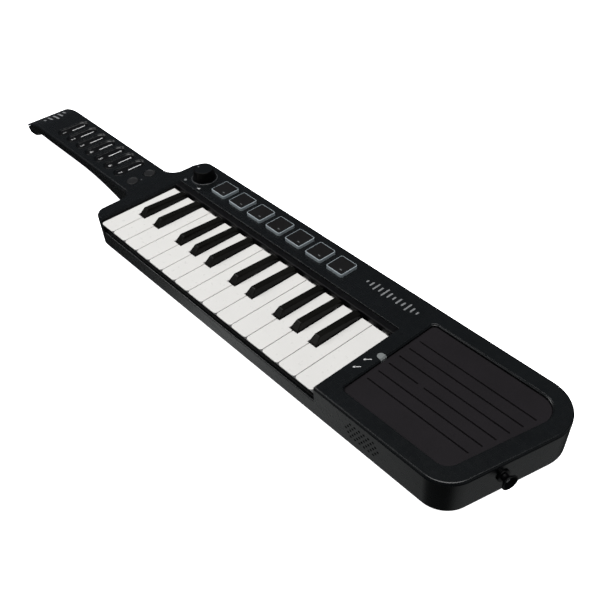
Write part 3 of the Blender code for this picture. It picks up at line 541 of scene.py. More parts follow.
def moulded(name, colour, roughness, grain=0.35, depth=0.02, mottle=0.12, gloss_spread=0.05, **sockets):
    """A moulded plastic or rubber: fine surface grain, faint mottling, uneven gloss and a few hairlines.

    The grain's size and its depth are in millimetres.
    """
    material = bpy.data.materials.new(name)
    material.use_nodes = True
    tree = material.node_tree
    shader = tree.nodes["Principled BSDF"]
    place = add(tree, "TexCoord").outputs["Object"]
    broad = noise(tree, place, 14 * MM)
    patches = noise(tree, place, 2.5 * MM, detail=5.0)
    fine = noise(tree, place, grain * MM, detail=2.0)
    stretch = add(tree, "Mapping", {"Rotation": (0.0, 0.0, 0.6), "Scale": (1.0, 22.0, 4.0)})
    tree.links.new(place, stretch.inputs["Vector"])
    hairlines = noise(tree, stretch.outputs["Vector"], 9 * MM, detail=1.0)
    dark = [channel * (1 - mottle) for channel in colour]
    light = [channel * (1 + mottle) for channel in colour]
    tree.links.new(blend_colours(tree, spread(tree, broad, 0.0, 1.0), dark, light),
                   shader.inputs["Base Color"])
    gloss = add(tree, "Math", operation="ADD")
    uneven = spread(tree, patches, roughness - gloss_spread, roughness + gloss_spread)
    tree.links.new(uneven, gloss.inputs[0])
    tree.links.new(spread(tree, hairlines, 0.0, gloss_spread, 0.62, 0.7), gloss.inputs[1])
    tree.links.new(gloss.outputs[0], shader.inputs["Roughness"])
    bump = height_bump(tree, [(fine, 0.6, depth * MM), (patches, 0.15, depth * MM)])
    tree.links.new(bump, shader.inputs["Normal"])
    for socket, value in sockets.items():
        shader.inputs[socket.replace("_", " ")].default_value = value
    return material


def shell_plastic():
    return moulded("shell_plastic", (0.0030, 0.0037, 0.0042), 0.27, depth=0.0015, gloss_spread=0.02,
                   Specular_IOR_Level=0.35)


def trim_plastic():
    return moulded("trim_plastic", (0.0014, 0.0014, 0.0017), 0.34, grain=0.2, depth=0.005,
                   Specular_IOR_Level=0.2)


def ivory_plastic():
    return moulded("ivory_plastic", (0.552, 0.545, 0.527), 0.30, grain=0.8, depth=0.0008, mottle=0.012,
                   gloss_spread=0.03)


def ebony_plastic():
    return moulded("ebony_plastic", (0.0042, 0.0041, 0.0035), 0.20, grain=0.5, depth=0.002, mottle=0.2,
                   Specular_IOR_Level=0.11)


def mat_rubber():
    return moulded("mat_rubber", (0.0056, 0.0044, 0.0056), 0.62, grain=0.3, depth=0.05, mottle=0.1,
                   Specular_IOR_Level=0.15)


def silicone():
    return moulded("silicone", (0.28, 0.32, 0.34), 0.34, grain=0.4, depth=0.004, mottle=0.04)


def pad_rubber():
    return moulded("pad_rubber", (0.0034, 0.0032, 0.0034), 0.55, grain=0.25, depth=0.01,
                   Specular_IOR_Level=0.14)


def knob_plastic():
    return moulded("knob_plastic", (0.0012, 0.0013, 0.0015), 0.34, grain=0.4, depth=0.001,
                   Specular_IOR_Level=0.12)


def knob_disc_plastic():
    return moulded("knob_disc_plastic", (0.0022, 0.0030, 0.0036), 0.42, grain=0.2, depth=0.006,
                   Specular_IOR_Level=0.14)


def button_plastic():
    return moulded("button_plastic", (0.0062, 0.0065, 0.0069), 0.45, grain=0.25, depth=0.02,
                   Specular_IOR_Level=0.3)


def ring_plastic():
    return moulded("ring_plastic", (0.034, 0.036, 0.038), 0.3, grain=0.3, depth=0.004, mottle=0.05)


def lens_plastic():
    return moulded("lens_plastic", (0.145, 0.155, 0.155), 0.26, grain=0.5, depth=0.003, mottle=0.04)


def light_plastic():
    return moulded("light_plastic", (0.80, 0.81, 0.81), 0.35, grain=0.4, depth=0.003, mottle=0.03)


def print_ink():
    return moulded("print_ink", (0.15, 0.154, 0.158), 0.5, grain=0.2, depth=0.004, mottle=0.08)


def bright_ink():
    return moulded("bright_ink", (0.42, 0.425, 0.425), 0.5, grain=0.2, depth=0.004, mottle=0.06)


def foot_rubber():
    return moulded("foot_rubber", (0.010, 0.010, 0.010), 0.8, grain=0.3, depth=0.04)


def frame_plastic():
    return moulded("frame_plastic", (0.0050, 0.0052, 0.0055), 0.5, grain=0.3, depth=0.005)


def board_resin():
    return moulded("board_resin", (0.010, 0.070, 0.030), 0.35, grain=0.8, depth=0.01, mottle=0.25)


def felt_cloth():
    return moulded("felt_cloth", (0.16, 0.012, 0.014), 0.95, grain=0.5, depth=0.3, mottle=0.25,
                   Sheen_Weight=0.5)


def battery_wrap():
    return moulded("battery_wrap", (0.03, 0.10, 0.28), 0.3, grain=0.6, depth=0.006)


def bright_metal():
    return moulded("bright_metal", (0.55, 0.55, 0.56), 0.28, grain=0.15, depth=0.01, mottle=0.06,
                   Metallic=1.0)


def dark_metal():
    return moulded("dark_metal", (0.10, 0.10, 0.105), 0.32, grain=0.15, depth=0.01, mottle=0.1,
                   Metallic=1.0)


def grille_cloth():
    """A fine black weave: two crossing waves make its threads."""
    material = moulded("grille_cloth", (0.004, 0.004, 0.004), 0.9, grain=0.3, depth=0.03)
    tree = material.node_tree
    shader = tree.nodes["Principled BSDF"]
    place = add(tree, "TexCoord").outputs["Object"]
    threads = [add(tree, "TexWave", {"Scale": 700.0}, wave_profile="SIN", bands_direction=way)
               for way in ("X", "Z")]
    for wave in threads:
        tree.links.new(place, wave.inputs["Vector"])
    weave = [(wave.outputs["Fac"], 0.8, 0.1 * MM) for wave in threads]
    tree.links.new(height_bump(tree, weave), shader.inputs["Normal"])
    return material


def pale_floor():
    return moulded("pale_floor", (0.93, 0.93, 0.93), 0.75, grain=3, depth=0.01, mottle=0.004,
                   Specular_IOR_Level=0.1, Emission_Color=(1.0, 1.0, 1.0, 1.0), Emission_Strength=1.1)


# ---- the casing's shape

def right_side(y, inset):
    """The slanted right side, moved in by an inset."""
    return BODY_RIGHT + SLANT * y - inset * math.hypot(1.0, SLANT)


def casing_outline(inset=0.0, tip=None):
    """The plan of body and neck together, moved in by an inset."""
    left = BODY_LEFT + inset
    front = BODY_FRONT + inset
    back = BODY_BACK - inset
    neck_front = NECK_FRONT + inset
    neck_back = NECK_BACK - inset
    tip = NECK_TIP + inset if tip is None else tip
    front_left, front_right, back_right, back_left = [radius - inset for radius in BODY_CORNERS]
    root_front, root_back = [radius + inset for radius in NECK_ROOTS]
    return rounded([
        (left, front, front_left),
        (right_side(front, inset), front, front_right),
        (right_side(back, inset), back, back_right),
        (left, back, back_left),
        (left, neck_back, root_back),
        (tip, neck_back, TIP_CORNER - inset),
        (tip, neck_front, TIP_CORNER - inset),
        (left, neck_front, root_front),
    ], CORNER_STEPS)


def head_drop(x):
    """How far the top of the head has curved down at x."""
    reach = max(0.0, HEAD_START - x)
    return HEAD_RADIUS - math.sqrt(HEAD_RADIUS ** 2 - reach ** 2)


def underside(x):
    """The height of the lowest surface: flat body, curved heel, thin neck, then the toe of the head."""
    if x > HEEL_START:
        reach = min(x - HEEL_START, HEEL_RADIUS)
        curved = NECK_UNDERSIDE - (HEEL_RADIUS - math.sqrt(HEEL_RADIUS ** 2 - reach ** 2))
        return max(CASE_BOTTOM, curved)
    along = min(1.0, max(0.0, (TOE_START - x) / (TOE_START - TOE_END)))
    return NECK_UNDERSIDE + (TOE_BOTTOM - NECK_UNDERSIDE) * along * along * (3 - 2 * along)


def case_height(x, z):
    """Lifts the straight-sided case to its real underside, and lets the head curve down."""
    rise = underside(x) - CASE_BOTTOM + head_drop(x)
    share = min(1.0, max(0.0, (CASE_RIM - z) / (CASE_RIM - CASE_BOTTOM - CASE_EDGE)))
    return z + rise * share - head_drop(x)


def drawn_in(z):
    """How far the drafted wall has come in at height z."""
    return CASE_DRAFT * (CASE_RIM - z) / (CASE_RIM - CASE_BOTTOM)


def heel_stations():
    reach = math.sqrt(HEEL_RADIUS ** 2 - (HEEL_RADIUS + CASE_BOTTOM - NECK_UNDERSIDE) ** 2)
    return steps_between(HEEL_START, HEEL_START + reach, BEND_STEPS)


def head_stations():
    return steps_between(HEAD_START, NECK_TIP + 0.5 * MM, BEND_STEPS)


def toe_stations():
    return steps_between(TOE_START, TOE_END, BEND_STEPS // 2)


def plate_outline(inset):
    """The plan of the strum opening, moved in by an inset, or out by a negative one."""
    left = PLATE_LEFT + inset
    front = PLATE_FRONT + inset
    back = PLATE_BACK - inset
    lean = inset * math.hypot(1.0, SLANT)
    front_left, front_right, back_right, back_left = [radius - inset for radius in PLATE_CORNERS]
    return rounded([
        (left, front, front_left),
        (PLATE_RIGHT + SLANT * front - lean, front, front_right),
        (PLATE_RIGHT + SLANT * back - lean, back, back_right),
        (left, back, back_left),
    ], CORNER_STEPS)


def bay_outline(z):
    """The key opening of the cover: a slope on its left side, and rounded edges behind and on the right."""
    slope_foot = COVER_UNDERSIDE + 0.2 * MM
    slope = BAY_SLOPE * max(0.0, (z - slope_foot) / (PANEL - slope_foot))
    into_edge = min(1.0, max(0.0, (z - PANEL + BAY_SOFTNESS) / BAY_SOFTNESS))
    flare = BAY_SOFTNESS * (1 - math.sqrt(1 - into_edge ** 2))
    return rectangle(BAY_LEFT - slope, BAY_RIGHT + flare, BAY_CUT_FRONT, BAY_BACK + flare)


def make_bay_cutter():
    edge = [PANEL - BAY_SOFTNESS * (1 - share) for share in (0.0, 0.35, 0.6, 0.8, 0.93, 0.985)]
    layers = [(bay_outline(z), z) for z in [CUT_LOW, COVER_UNDERSIDE + 0.2 * MM] + edge]
    right, back = BAY_RIGHT + 1.2 * MM, BAY_BACK + 1.2 * MM
    layers.append((rectangle(BAY_LEFT - BAY_SLOPE * 3.5, right, BAY_CUT_FRONT, back), CUT_HIGH))
    return stack("key_bay", layers)


def dished_hole(name, outline, chamfer, softness=0.25 * MM):
    """A cutter whose upper edge slopes in from the panel. The outline is a function of its inset."""
    foot = PANEL - chamfer
    layers = [(outline(chamfer), CUT_LOW), (outline(chamfer), foot)]
    for share in (0.25, 0.5, 0.75):
        layers.append((outline(chamfer * (1 - share)), foot + chamfer * share ** 1.25))
    layers += [(outline(softness), PANEL - 0.6 * softness), (outline(0.4 * softness), PANEL - 0.2 * softness),
               (outline(-0.2 * softness), PANEL), (outline(-2 * softness), PANEL + 0.3 * softness),
               (outline(-2.2 * softness), CUT_HIGH)]
    return stack(name, layers)


def chord_hole(centre):
    """A cutter for the dished slot around a chord button."""
    outline = chord_outline(centre, BUTTON_GAP + CHORD_CHAMFER)
    return dished_hole("chord_hole", outline, CHORD_CHAMFER)


def make_top_cover(material):
    layers = [(casing_outline(SEAM), COVER_UNDERSIDE), (casing_outline(), COVER_UNDERSIDE + SEAM)]
    layers += round_over(lambda inset: casing_outline(COVER_DRAFT + inset), PANEL, COVER_EDGE, 8)
    cover = stack("top_cover_moulding", layers)
    slice_at(cover, head_stations())
    warp(cover, lambda x, z: z - head_drop(x))
    holes = [make_bay_cutter()]
    for name in PADS:
        holes.append(hole("pad_hole", pad_outline(node_middle(name), BUTTON_GAP), 0.3 * MM))
    holes += [chord_hole(node_middle(name)) for name in CHORD_BUTTONS]
    for name in ROUND_BUTTONS:
        holes.append(hole("round_hole", round_outline(node_middle(name), BUTTON_GAP), 0.35 * MM))
    knob = node_middle("volume_knob")
    holes.append(hole("shaft_hole", lambda inset: circle(knob.x, knob.y, KNOB_SHAFT + BUTTON_GAP - inset)))
    inner, outer = RING_INNER - 0.1 * MM, RING_OUTER + 0.1 * MM
    low = PANEL - RING_DEPTH - GAP
    profile = [(inner, CUT_HIGH), (outer, CUT_HIGH), (outer, low), (inner, low), (inner, CUT_HIGH)]
    holes.append(shift(turned("ring_groove", profile), knob.x, knob.y))
    strum_hole = dished_hole("strum", plate_outline, PLATE_CHAMFER)
    combine(cover, [merged("cover_holes", holes), strum_hole], "DIFFERENCE")
    combine(cover, [hole("lens_hole", lambda inset: lens_outline(GAP / 2 - inset))], "DIFFERENCE")
    return finish(cover, material, "casing", ["top_cover"])


def case_section(inset, z, tip=None):
    return casing_outline(inset + drawn_in(z), tip)


def make_lip_cutter():
    """Clears the case in front of the keys and leaves a rounded lip."""
    outer = BODY_FRONT + drawn_in(LIP_OF_CASE) - 0.001 * MM
    front, back, low, high = -6 * MM, 8 * MM, LIP_OF_CASE - 3 * MM, 5 * MM
    profile = rounded([(front, low, None), (outer, low, None), (outer, LIP_OF_CASE, LIP_SOFTNESS),
                       (back, LIP_OF_CASE, None), (back, high, None), (front, high, None)], EDGE_STEPS + 1)
    return upright("key_front", profile, BAY_LEFT, BAY_RIGHT)


def make_bottom_case(material):
    layers = []
    for inward, up in reversed(quarter_turn(8)):
        z = CASE_BOTTOM + CASE_EDGE - CASE_EDGE * up
        layers.append((case_section(CASE_EDGE * inward, z), z))
    for z in steps_between(CASE_BOTTOM + CASE_EDGE, CASE_RIM - SEAM, 4)[1:]:
        layers.append((case_section(0.0, z), z))
    layers.append((case_section(SEAM, CASE_RIM), CASE_RIM))
    case = stack("bottom_case_moulding", layers)
    slice_at(case, heel_stations() + head_stations() + toe_stations())
    warp(case, case_height)
    low, high = CASE_BOTTOM + WALL, CASE_RIM + 2 * MM
    hollow = stack("hollow", [(case_section(WALL, z, NECK_CAVITY_END), z) for z in (low, high)])
    slice_at(hollow, heel_stations())
    warp(hollow, case_height)
    combine(case, [hollow], "DIFFERENCE")
    left, right, front, back = DOOR
    door = rectangle(left, right, front, back, DOOR_CORNER)
    cutters = [slab("door_hole", door, CASE_BOTTOM - MM, CASE_BOTTOM + 2 * WALL)]
    low, high = node_box("usb_socket")
    socket = rectangle(low.x - GAP, high.x + GAP, low.z - GAP, high.z + GAP, 0.8 * MM)
    cutters.append(move(slab("usb_hole", socket, -2 * WALL, 2 * WALL),
                        Matrix.Translation((0, BODY_BACK, 0)) @ UPRIGHT))
    bore = circle(0, 0, SCREW_RADIUS + GAP, 24)
    cutters.append(move(slab("strap_hole", bore, -3 * WALL, 2 * WALL), strap_matrix()))
    for x, z in grille_places():
        facing = Matrix.Translation((x, BODY_FRONT, z)) @ UPRIGHT
        face = -drawn_in(z)
        profile = [(0.0, WALL), (GRILLE_HOLE + 0.2 * MM, WALL), (GRILLE_HOLE + 0.1 * MM, face),
                   (GRILLE_HOLE, face - 0.15 * MM), (GRILLE_HOLE, -2 * WALL), (0.0, -2 * WALL)]
        cutters.append(move(turned("grille_hole", profile, 16), facing))
    top, low, radius = CASE_SCREW_DEPTH, -2 * MM, 3.4 * MM
    for x, y in screw_places():
        recess = turned("screw_recess", [(0.0, top), (radius, top), (radius, low), (0.0, low)], 32)
        cutters.append(shift(recess, x, y, underside(x)))
    combine(case, [merged("case_holes", cutters), make_lip_cutter()], "DIFFERENCE")
    return finish(case, material, "casing", ["bottom_case"])


def foot_places():
    front = BODY_FRONT + FOOT_INSET
    back = BODY_BACK - FOOT_INSET
    return [(2 * MM, front), (2 * MM, back), (415 * MM, front), (430 * MM, back)]


def screw_places():
    """Where the screws that join the two halves of the casing sit in its underside."""
    rows = (24 * MM, 114 * MM)
    body = [(x, y) for x in (40 * MM, 170 * MM, 300 * MM) for y in rows]
    return body + [(422 * MM, 75 * MM), (-140 * MM, 69.8 * MM), (-185 * MM, 69.8 * MM)]


def grille_places():
    """Staggered rows of holes that together make a hexagon."""
    places = []
    for row, count in enumerate(GRILLE_ROWS):
        z = GRILLE_Z + ((len(GRILLE_ROWS) - 1) / 2 - row) * GRILLE_ROW_PITCH
        for k in range(count):
            places.append((GRILLE_X + (k - (count - 1) / 2) * GRILLE_PITCH, z))
    return places


def make_feet(material):
    profile = softened([(0.0, 0.1 * MM, 0), (FOOT_RADIUS, 0.1 * MM, 0),
                        (FOOT_RADIUS, -FOOT_HEIGHT, 0.5 * MM), (0.0, -FOOT_HEIGHT, 0)])
    for number, (x, y) in enumerate(foot_places(), start=1):
        foot = shift(turned(f"foot_pad_{number}", profile, 48), x, y, CASE_BOTTOM)
        finish(foot, material, "casing")


def cut_cross(screw, length, width, low, high):
    """Cuts a crossed slot into a screw's head, from half its length and half its width."""
    slots = [block("slot", (-length, -width, low), (length, width, high)),
             block("slot", (-width, -length, low), (width, length, high))]
    return combine(screw, slots, "DIFFERENCE")


def make_case_screws(material):
    radius, top = 2.9 * MM, CASE_SCREW_DEPTH
    profile = softened([(0.0, top, 0), (radius, top, 0), (radius, 0.4 * MM, 0.5 * MM), (0.0, 0.25 * MM, 0)])
    for number, (x, y) in enumerate(screw_places(), start=1):
        screw = cut_cross(turned(f"case_screw_{number}", profile, 32), 1.6 * MM, 0.3 * MM, -MM, 0.9 * MM)
        finish(shift(screw, x, y, underside(x)), material, "casing")


def make_battery_door(material):
    left, right, front, back = DOOR

    def outline(inset):
        gap = GAP + inset
        return rectangle(left + gap, right - gap, front + gap, back - gap, DOOR_CORNER - gap)
    layers = round_under(outline, CASE_BOTTOM, 0.4 * MM) + [(outline(0.0), CASE_BOTTOM + 1.8 * MM)]
    door = stack("battery_door_moulding", layers)
    middle = (left + right) / 2
    ridges = []
    for k in range(6):
        y = front + (5 + 1.8 * k) * MM
        ridge = rectangle(middle - 9 * MM, middle + 9 * MM, y, y + 0.9 * MM, 0.44 * MM)
        ridges.append(slab("grip_groove", ridge, CASE_BOTTOM - MM, CASE_BOTTOM + 0.6 * MM))
    combine(door, [merged("grip_grooves", ridges)], "DIFFERENCE")
    return finish(door, material, "casing", ["battery_door"])


# ---- keys

def white_plan(index):
    """One white key from above: full width in front, narrow between its black keys, then the tail."""
    left = KEY_PITCH * index + KEY_GAP / 2
    right = KEY_PITCH * (index + 1) - KEY_GAP / 2
    side = BLACK_WIDTH / 2 + BLACK_CLEARANCE
    rear_left, rear_right = left, right
    for centre in BLACK_CENTRES:
        if centre < (left + right) / 2 and centre + side > left:
            rear_left = centre + side
        if centre > (left + right) / 2 and centre - side < right:
            rear_right = centre - side
    notch = BLACK_FRONT - BLACK_ROOM
    middle = (rear_left + rear_right) / 2
    tail = TAIL_WIDTH / 2
    corners = [(left, 0.0, KEY_CORNER), (right, 0.0, KEY_CORNER)]
    if rear_right < right:
        corners += [(right, notch, None), (rear_right, notch, None)]
    corners += [(rear_right, KEY_END, None), (middle + tail, KEY_END, None), (middle + tail, TAIL_END, None),
                (middle - tail, TAIL_END, None), (middle - tail, KEY_END, None), (rear_left, KEY_END, None)]
    if rear_left > left:
        corners += [(rear_left, notch, None), (left, notch, None)]
    return rounded(corners)


def key_profile(front):
    """A key in side view: its own front and top, then the tail that hooks over the rail of the frame."""
    tail = [(KEY_END, TAIL_TOP), (TAIL_END, TAIL_TOP), (TAIL_END, HOOK_BOTTOM), (HOOK_FRONT, HOOK_BOTTOM),
            (HOOK_FRONT, KEY_UNDERSIDE)]
    return [Vector(point) for point in reversed(front + tail)]


def make_white_key(index, name, material):
    key = slab(f"{name}_moulding", white_plan(index), HOOK_BOTTOM - MM, MM)
    front = [(LIP_DEPTH, KEY_UNDERSIDE), (LIP_DEPTH, -LIP_THICKNESS), (-MM, -LIP_THICKNESS), (-MM, 0.0),
             (KEY_END, 0.0)]
    side = upright("side", key_profile(front), KEY_PITCH * (index - 1), KEY_PITCH * (index + 2))
    combine(key, [side], "INTERSECT")
    soften(key, KEY_SOFTNESS)
    return finish(key, material, name, [name])


def make_black_key(name, centre, material):
    half, tail = BLACK_WIDTH / 2, TAIL_WIDTH / 2
    plan = [Vector(point) for point in ((-half, 0.0), (half, 0.0), (half, KEY_END), (tail, KEY_END),
                                        (tail, TAIL_END + MM), (-tail, TAIL_END + MM), (-tail, KEY_END),
                                        (-half, KEY_END))]
    key = slab(f"{name}_moulding", plan, HOOK_BOTTOM - MM, BLACK_HEIGHT + MM)
    front = [(BLACK_FRONT, BLACK_UNDERSIDE), (BLACK_FRONT, 0.0), (BLACK_NOSE, BLACK_HEIGHT),
             (KEY_END - 0.01 * MM, BLACK_REAR_HEIGHT)]
    profile = key_profile([(KEY_END, BLACK_UNDERSIDE)] + front)
    combine(key, [upright("side", profile, -BLACK_WIDTH, BLACK_WIDTH)], "INTERSECT")
    slice_at(key, [0.0], (0, 0, 1))
    for vert in key.data.vertices:
        vert.co.x -= math.copysign(BLACK_DRAFT * max(0.0, vert.co.z), vert.co.x)
    soften(shift(key, centre, 0.0), BLACK_SOFTNESS, 4, 25)
    return finish(key, material, name, [name])


def make_key_trim(material):
    """The strip behind the keys, a little below the panel."""
    def outline(inset):
        gap = GAP + inset
        return rectangle(BAY_LEFT + gap, BAY_RIGHT - gap, TRIM_FRONT + inset, BAY_BACK - TRIM_GAP - inset)
    layers = [(outline(0.0), TRIM_BOTTOM)] + round_over(outline, TRIM_TOP, 0.6 * MM)
    return finish(stack("key_trim_strip", layers), material, "casing", ["key_trim"])


# ---- pads, knob and buttons

def flange_layers(outline):
    """The flange that keeps a button under the cover, as the lowest layers of the button."""
    return [(outline(-FLANGE), FLANGE_BOTTOM), (outline(-FLANGE), FLANGE_TOP), (outline(0.0), FLANGE_TOP)]


def pad_outline(centre, grow=0.0):
    """A pad's plan as a function of its inset."""
    def outline(inset):
        half = PAD_SIZE / 2 + grow - inset
        return rectangle(centre.x - half, centre.x + half, centre.y - half, centre.y + half,
                         PAD_CORNER + grow - inset)
    return outline


def make_pad(name, base_material, top_material, ink):
    """A clear silicone base whose rim shows around a dark top, with a small print."""
    centre = node_middle(name)
    outline = pad_outline(centre)
    layers = flange_layers(outline) + round_over(outline, PAD_TOP, 0.35 * MM)
    layers += [(outline(PAD_RIM), PAD_TOP), (outline(PAD_RIM), PAD_TOP - GAP)]
    finish(stack(f"{name}_silicone", layers), base_material, name, [name])
    top_edge = pad_outline(centre, -PAD_RIM - 0.03 * MM)
    layers = [(top_edge(0.0), PAD_TOP - GAP)] + round_over(top_edge, PAD_TOP - 0.03 * MM, 0.12 * MM)
    finish(stack(f"{name}_top", layers), top_material, name)
    mark = rectangle(-1.3 * MM, 1.3 * MM, -0.35 * MM, 0.35 * MM, 0.3 * MM)
    mark = slab(f"{name}_mark", mark, 0.0, PRINT)
    finish(shift(mark, centre.x + 4 * MM, centre.y - 5 * MM, PAD_TOP - PRINT), ink, name)


def chord_outline(centre, grow=0.0):
    """A chord button's plan as a function of its inset."""
    def outline(inset):
        change = grow - inset
        return stadium(centre.x, centre.y, CHORD_HALF_WIDTH + change, CHORD_HALF_LENGTH + change,
                       2 * SMALL_STEPS)
    return outline


def make_chord_button(name, number, cap_material, light_material, ink):
    """A long cap with a light slit along its back half and its number at its front end."""
    centre = node_middle(name)
    outline = chord_outline(centre)
    layers = flange_layers(outline) + round_over(outline, CHORD_TOP, 0.5 * MM)
    finish(stack(f"{name}_cap", layers), cap_material, name, [name])

    def slit(inset):
        return stadium(centre.x + 2 * MM, centre.y + 5.4 * MM, 0.38 * MM - inset, 8.0 * MM - inset)
    layers = [(slit(0.0), CHORD_TOP - MM)] + round_over(slit, CHORD_TOP + 0.1 * MM, 0.12 * MM, 2)
    finish(stack(f"{name}_light", layers), light_material, name)
    digit = make_text(f"{name}_number", str(number), 6.4 * MM)
    finish(shift(digit, centre.x, centre.y - 11.4 * MM, CHORD_TOP - PRINT / 2), ink, name)


def make_text(name, words, size):
    """Flat printed figures, centred on the origin, that read from the front of the keyboard."""
    curve = bpy.data.curves.new(name, "FONT")
    curve.body = words
    curve.size = size
    curve.extrude = PRINT / 2
    curve.align_x = "CENTER"
    curve.align_y = "CENTER"
    drawn = add_object(name, curve)
    bpy.context.view_layer.update()
    graph = bpy.context.evaluated_depsgraph_get()
    mesh = bpy.data.meshes.new_from_object(drawn.evaluated_get(graph))
    bpy.data.objects.remove(drawn, do_unlink=True)
    bm = bmesh.new()
    bm.from_mesh(mesh)
    bmesh.ops.remove_doubles(bm, verts=bm.verts, dist=0.001 * MM)
    bmesh.ops.translate(bm, verts=bm.verts, vec=(0, 0, PRINT / 2))
    return link(name, bm)


def round_outline(centre, grow=0.0):
    return lambda inset: circle(centre.x, centre.y, ROUND_RADIUS + grow - inset, 64)


def make_round_button(name, material):
    """A low round cap with a shallow dish."""
    dish = ROUND_RADIUS - 1.2 * MM
    profile = softened([(0.0, ROUND_TOP - 0.25 * MM, 0), (dish, ROUND_TOP - 0.15 * MM, 0.1 * MM),
                        (dish + 0.5 * MM, ROUND_TOP, 0.1 * MM), (ROUND_RADIUS, ROUND_TOP, 0.45 * MM),
                        (ROUND_RADIUS, FLANGE_TOP, 0), (ROUND_RADIUS + FLANGE, FLANGE_TOP, 0),
                        (ROUND_RADIUS + FLANGE, FLANGE_BOTTOM, 0), (0.0, FLANGE_BOTTOM, 0)])
    centre = node_middle(name)
    cap = shift(turned(f"{name}_cap", profile, 64), centre.x, centre.y)
    finish(cap, material, name, [name])


def make_knob(side_material, disc_material, ink):
    """A tapered knob with a let-in top disc and a dot that shows where it points."""
    centre = node_middle("volume_knob")
    low = PANEL + GAP
    disc = KNOB_RADIUS - 0.9 * MM
    seat = KNOB_TOP - 0.7 * MM
    profile = softened([(0.0, seat, 0), (disc, seat, 0), (disc, KNOB_TOP, 0.15 * MM),
                        (KNOB_RADIUS, KNOB_TOP, 0.45 * MM), (KNOB_BASE, low, 0.3 * MM),
                        (KNOB_SHAFT, low, 0), (KNOB_SHAFT, KNOB_FOOT, 0), (0.0, KNOB_FOOT, 0)])
    knob = shift(turned("volume_knob_body", profile), centre.x, centre.y)
    finish(knob, side_material, "volume_knob", ["volume_knob"])
    edge = disc - 0.06 * MM
    crown = KNOB_TOP - 0.15 * MM
    profile = softened([(0.0, crown - 0.2 * MM, 0), (edge - 1.2 * MM, crown - 0.15 * MM, 0.5 * MM),
                        (edge, crown, 0.1 * MM), (edge, seat, 0), (0.0, seat, 0)])
    finish(shift(turned("volume_knob_disc", profile), centre.x, centre.y), disc_material, "volume_knob")
    dot = slab("volume_knob_dot", circle(centre.x - 6.4 * MM, centre.y - 1.4 * MM, 0.8 * MM, 24),
               crown - 0.25 * MM, crown - 0.1 * MM)
    finish(dot, ink, "volume_knob")


def make_knob_ring(material):
    """A crowned ring let into the panel around the knob."""
    centre = node_middle("volume_knob")
    top, bottom = PANEL + PROUD, PANEL - RING_DEPTH
    profile = softened([(RING_INNER, bottom, 0), (RING_OUTER, bottom, 0), (RING_OUTER, top, 0.4 * MM),
                        (RING_INNER, top, 0.4 * MM), (RING_INNER, bottom, 0)])
    ring = shift(turned("knob_ring_light", profile, 128), centre.x, centre.y)
    return finish(ring, material, "casing", ["knob_ring"])


# ---- strum plate

def groove_spans():
    """(y, start, end) of each groove: one of them is broken in two."""
    spans = []
    for index in range(GROOVE_COUNT):
        y = GROOVE_FIRST + GROOVE_PITCH * index
        right = GROOVE_RIGHT + SLANT * y
        if index == BROKEN_GROOVE:
            spans += [(y, GROOVE_LEFT, BREAK_LEFT), (y, BREAK_RIGHT, right)]
        else:
            spans.append((y, GROOVE_LEFT, right))
    return spans


def groove_cutter(y, start, end):
    """A slot along X with round ends, a narrow floor and soft upper edges."""
    half = GROOVE_WIDTH / 2

    def outline(grow):
        width = half + grow
        return rectangle(start - grow, end + grow, y - width, y + width, width * 0.99, 4)
    layers = [(outline(-0.15 * MM), PLATE_TOP - GROOVE_DEPTH), (outline(0.0), PLATE_TOP - 0.4 * MM),
              (outline(0.06 * MM), PLATE_TOP - 0.12 * MM), (outline(0.3 * MM), PLATE_TOP + 0.1 * MM)]
    return stack("groove", layers)


def make_strum_plate(material):
    """A grooved mat inside the opening, with a flange that reaches under the cover."""
    def face(inset):
        return plate_outline(PLATE_CHAMFER + PLATE_GAP + inset)
    flange = plate_outline(-PLATE_MARGIN)
    layers = [(flange, PLATE_BOTTOM), (flange, PLATE_SHOULDER), (face(0.0), PLATE_SHOULDER)]
    plate = stack("strum_plate_mat", layers + round_over(face, PLATE_TOP, 0.35 * MM))
    grooves = merged("grooves", [groove_cutter(*span) for span in groove_spans()])
    combine(plate, [grooves], "DIFFERENCE")
    room = slab("lens_room", lens_outline(GAP / 2), PLATE_BOTTOM - MM, PLATE_TOP + MM)
    combine(plate, [room], "DIFFERENCE")
    return finish(plate, material, "casing", ["strum_plate"])


def lens_outline(grow=0.0):
    """A tongue: round at the left end, square at the edge of the strum opening."""
    radius = LENS_RADIUS + grow
    left, right = LENS_X - radius, LENS_END + grow
    near, far = LENS_Y - radius, LENS_Y + radius
    return rounded([(left, near, radius * ALMOST), (right, near, None), (right, far, None),
                    (left, far, radius * ALMOST)], 10)


def make_lens(material):
    """The light window, whose right end slopes down with the edge of the strum opening."""
    top = PANEL + PROUD
    lens = slab("indicator_lens_window", lens_outline(), LENS_BOTTOM, top)
    slope = [Vector(point) for point in ((PLATE_LEFT, top), (LENS_END + MM, top - PLATE_CHAMFER - MM),
                                         (LENS_END + MM, top + MM), (PLATE_LEFT, top + MM))]
    reach = 2 * LENS_RADIUS
    wedge = slab("lens_slope", slope, -LENS_Y - reach, reach - LENS_Y)
    combine(lens, [move(wedge, UPRIGHT)], "DIFFERENCE")
    soften(lens, 0.25 * MM)
    return finish(lens, material, "casing", ["indicator_lens"])


# ---- fittings

def strap_matrix():
    """Local Z points out of the slanted right wall, at the strap button."""
    outward = Vector((1.0, -SLANT, 0.0)).normalized()
    turn = outward.to_track_quat("Z", "Y").to_matrix().to_4x4()
    wall = right_side(STRAP_Y, drawn_in(STRAP_Z))
    return Matrix.Translation((wall, STRAP_Y, STRAP_Z)) @ turn


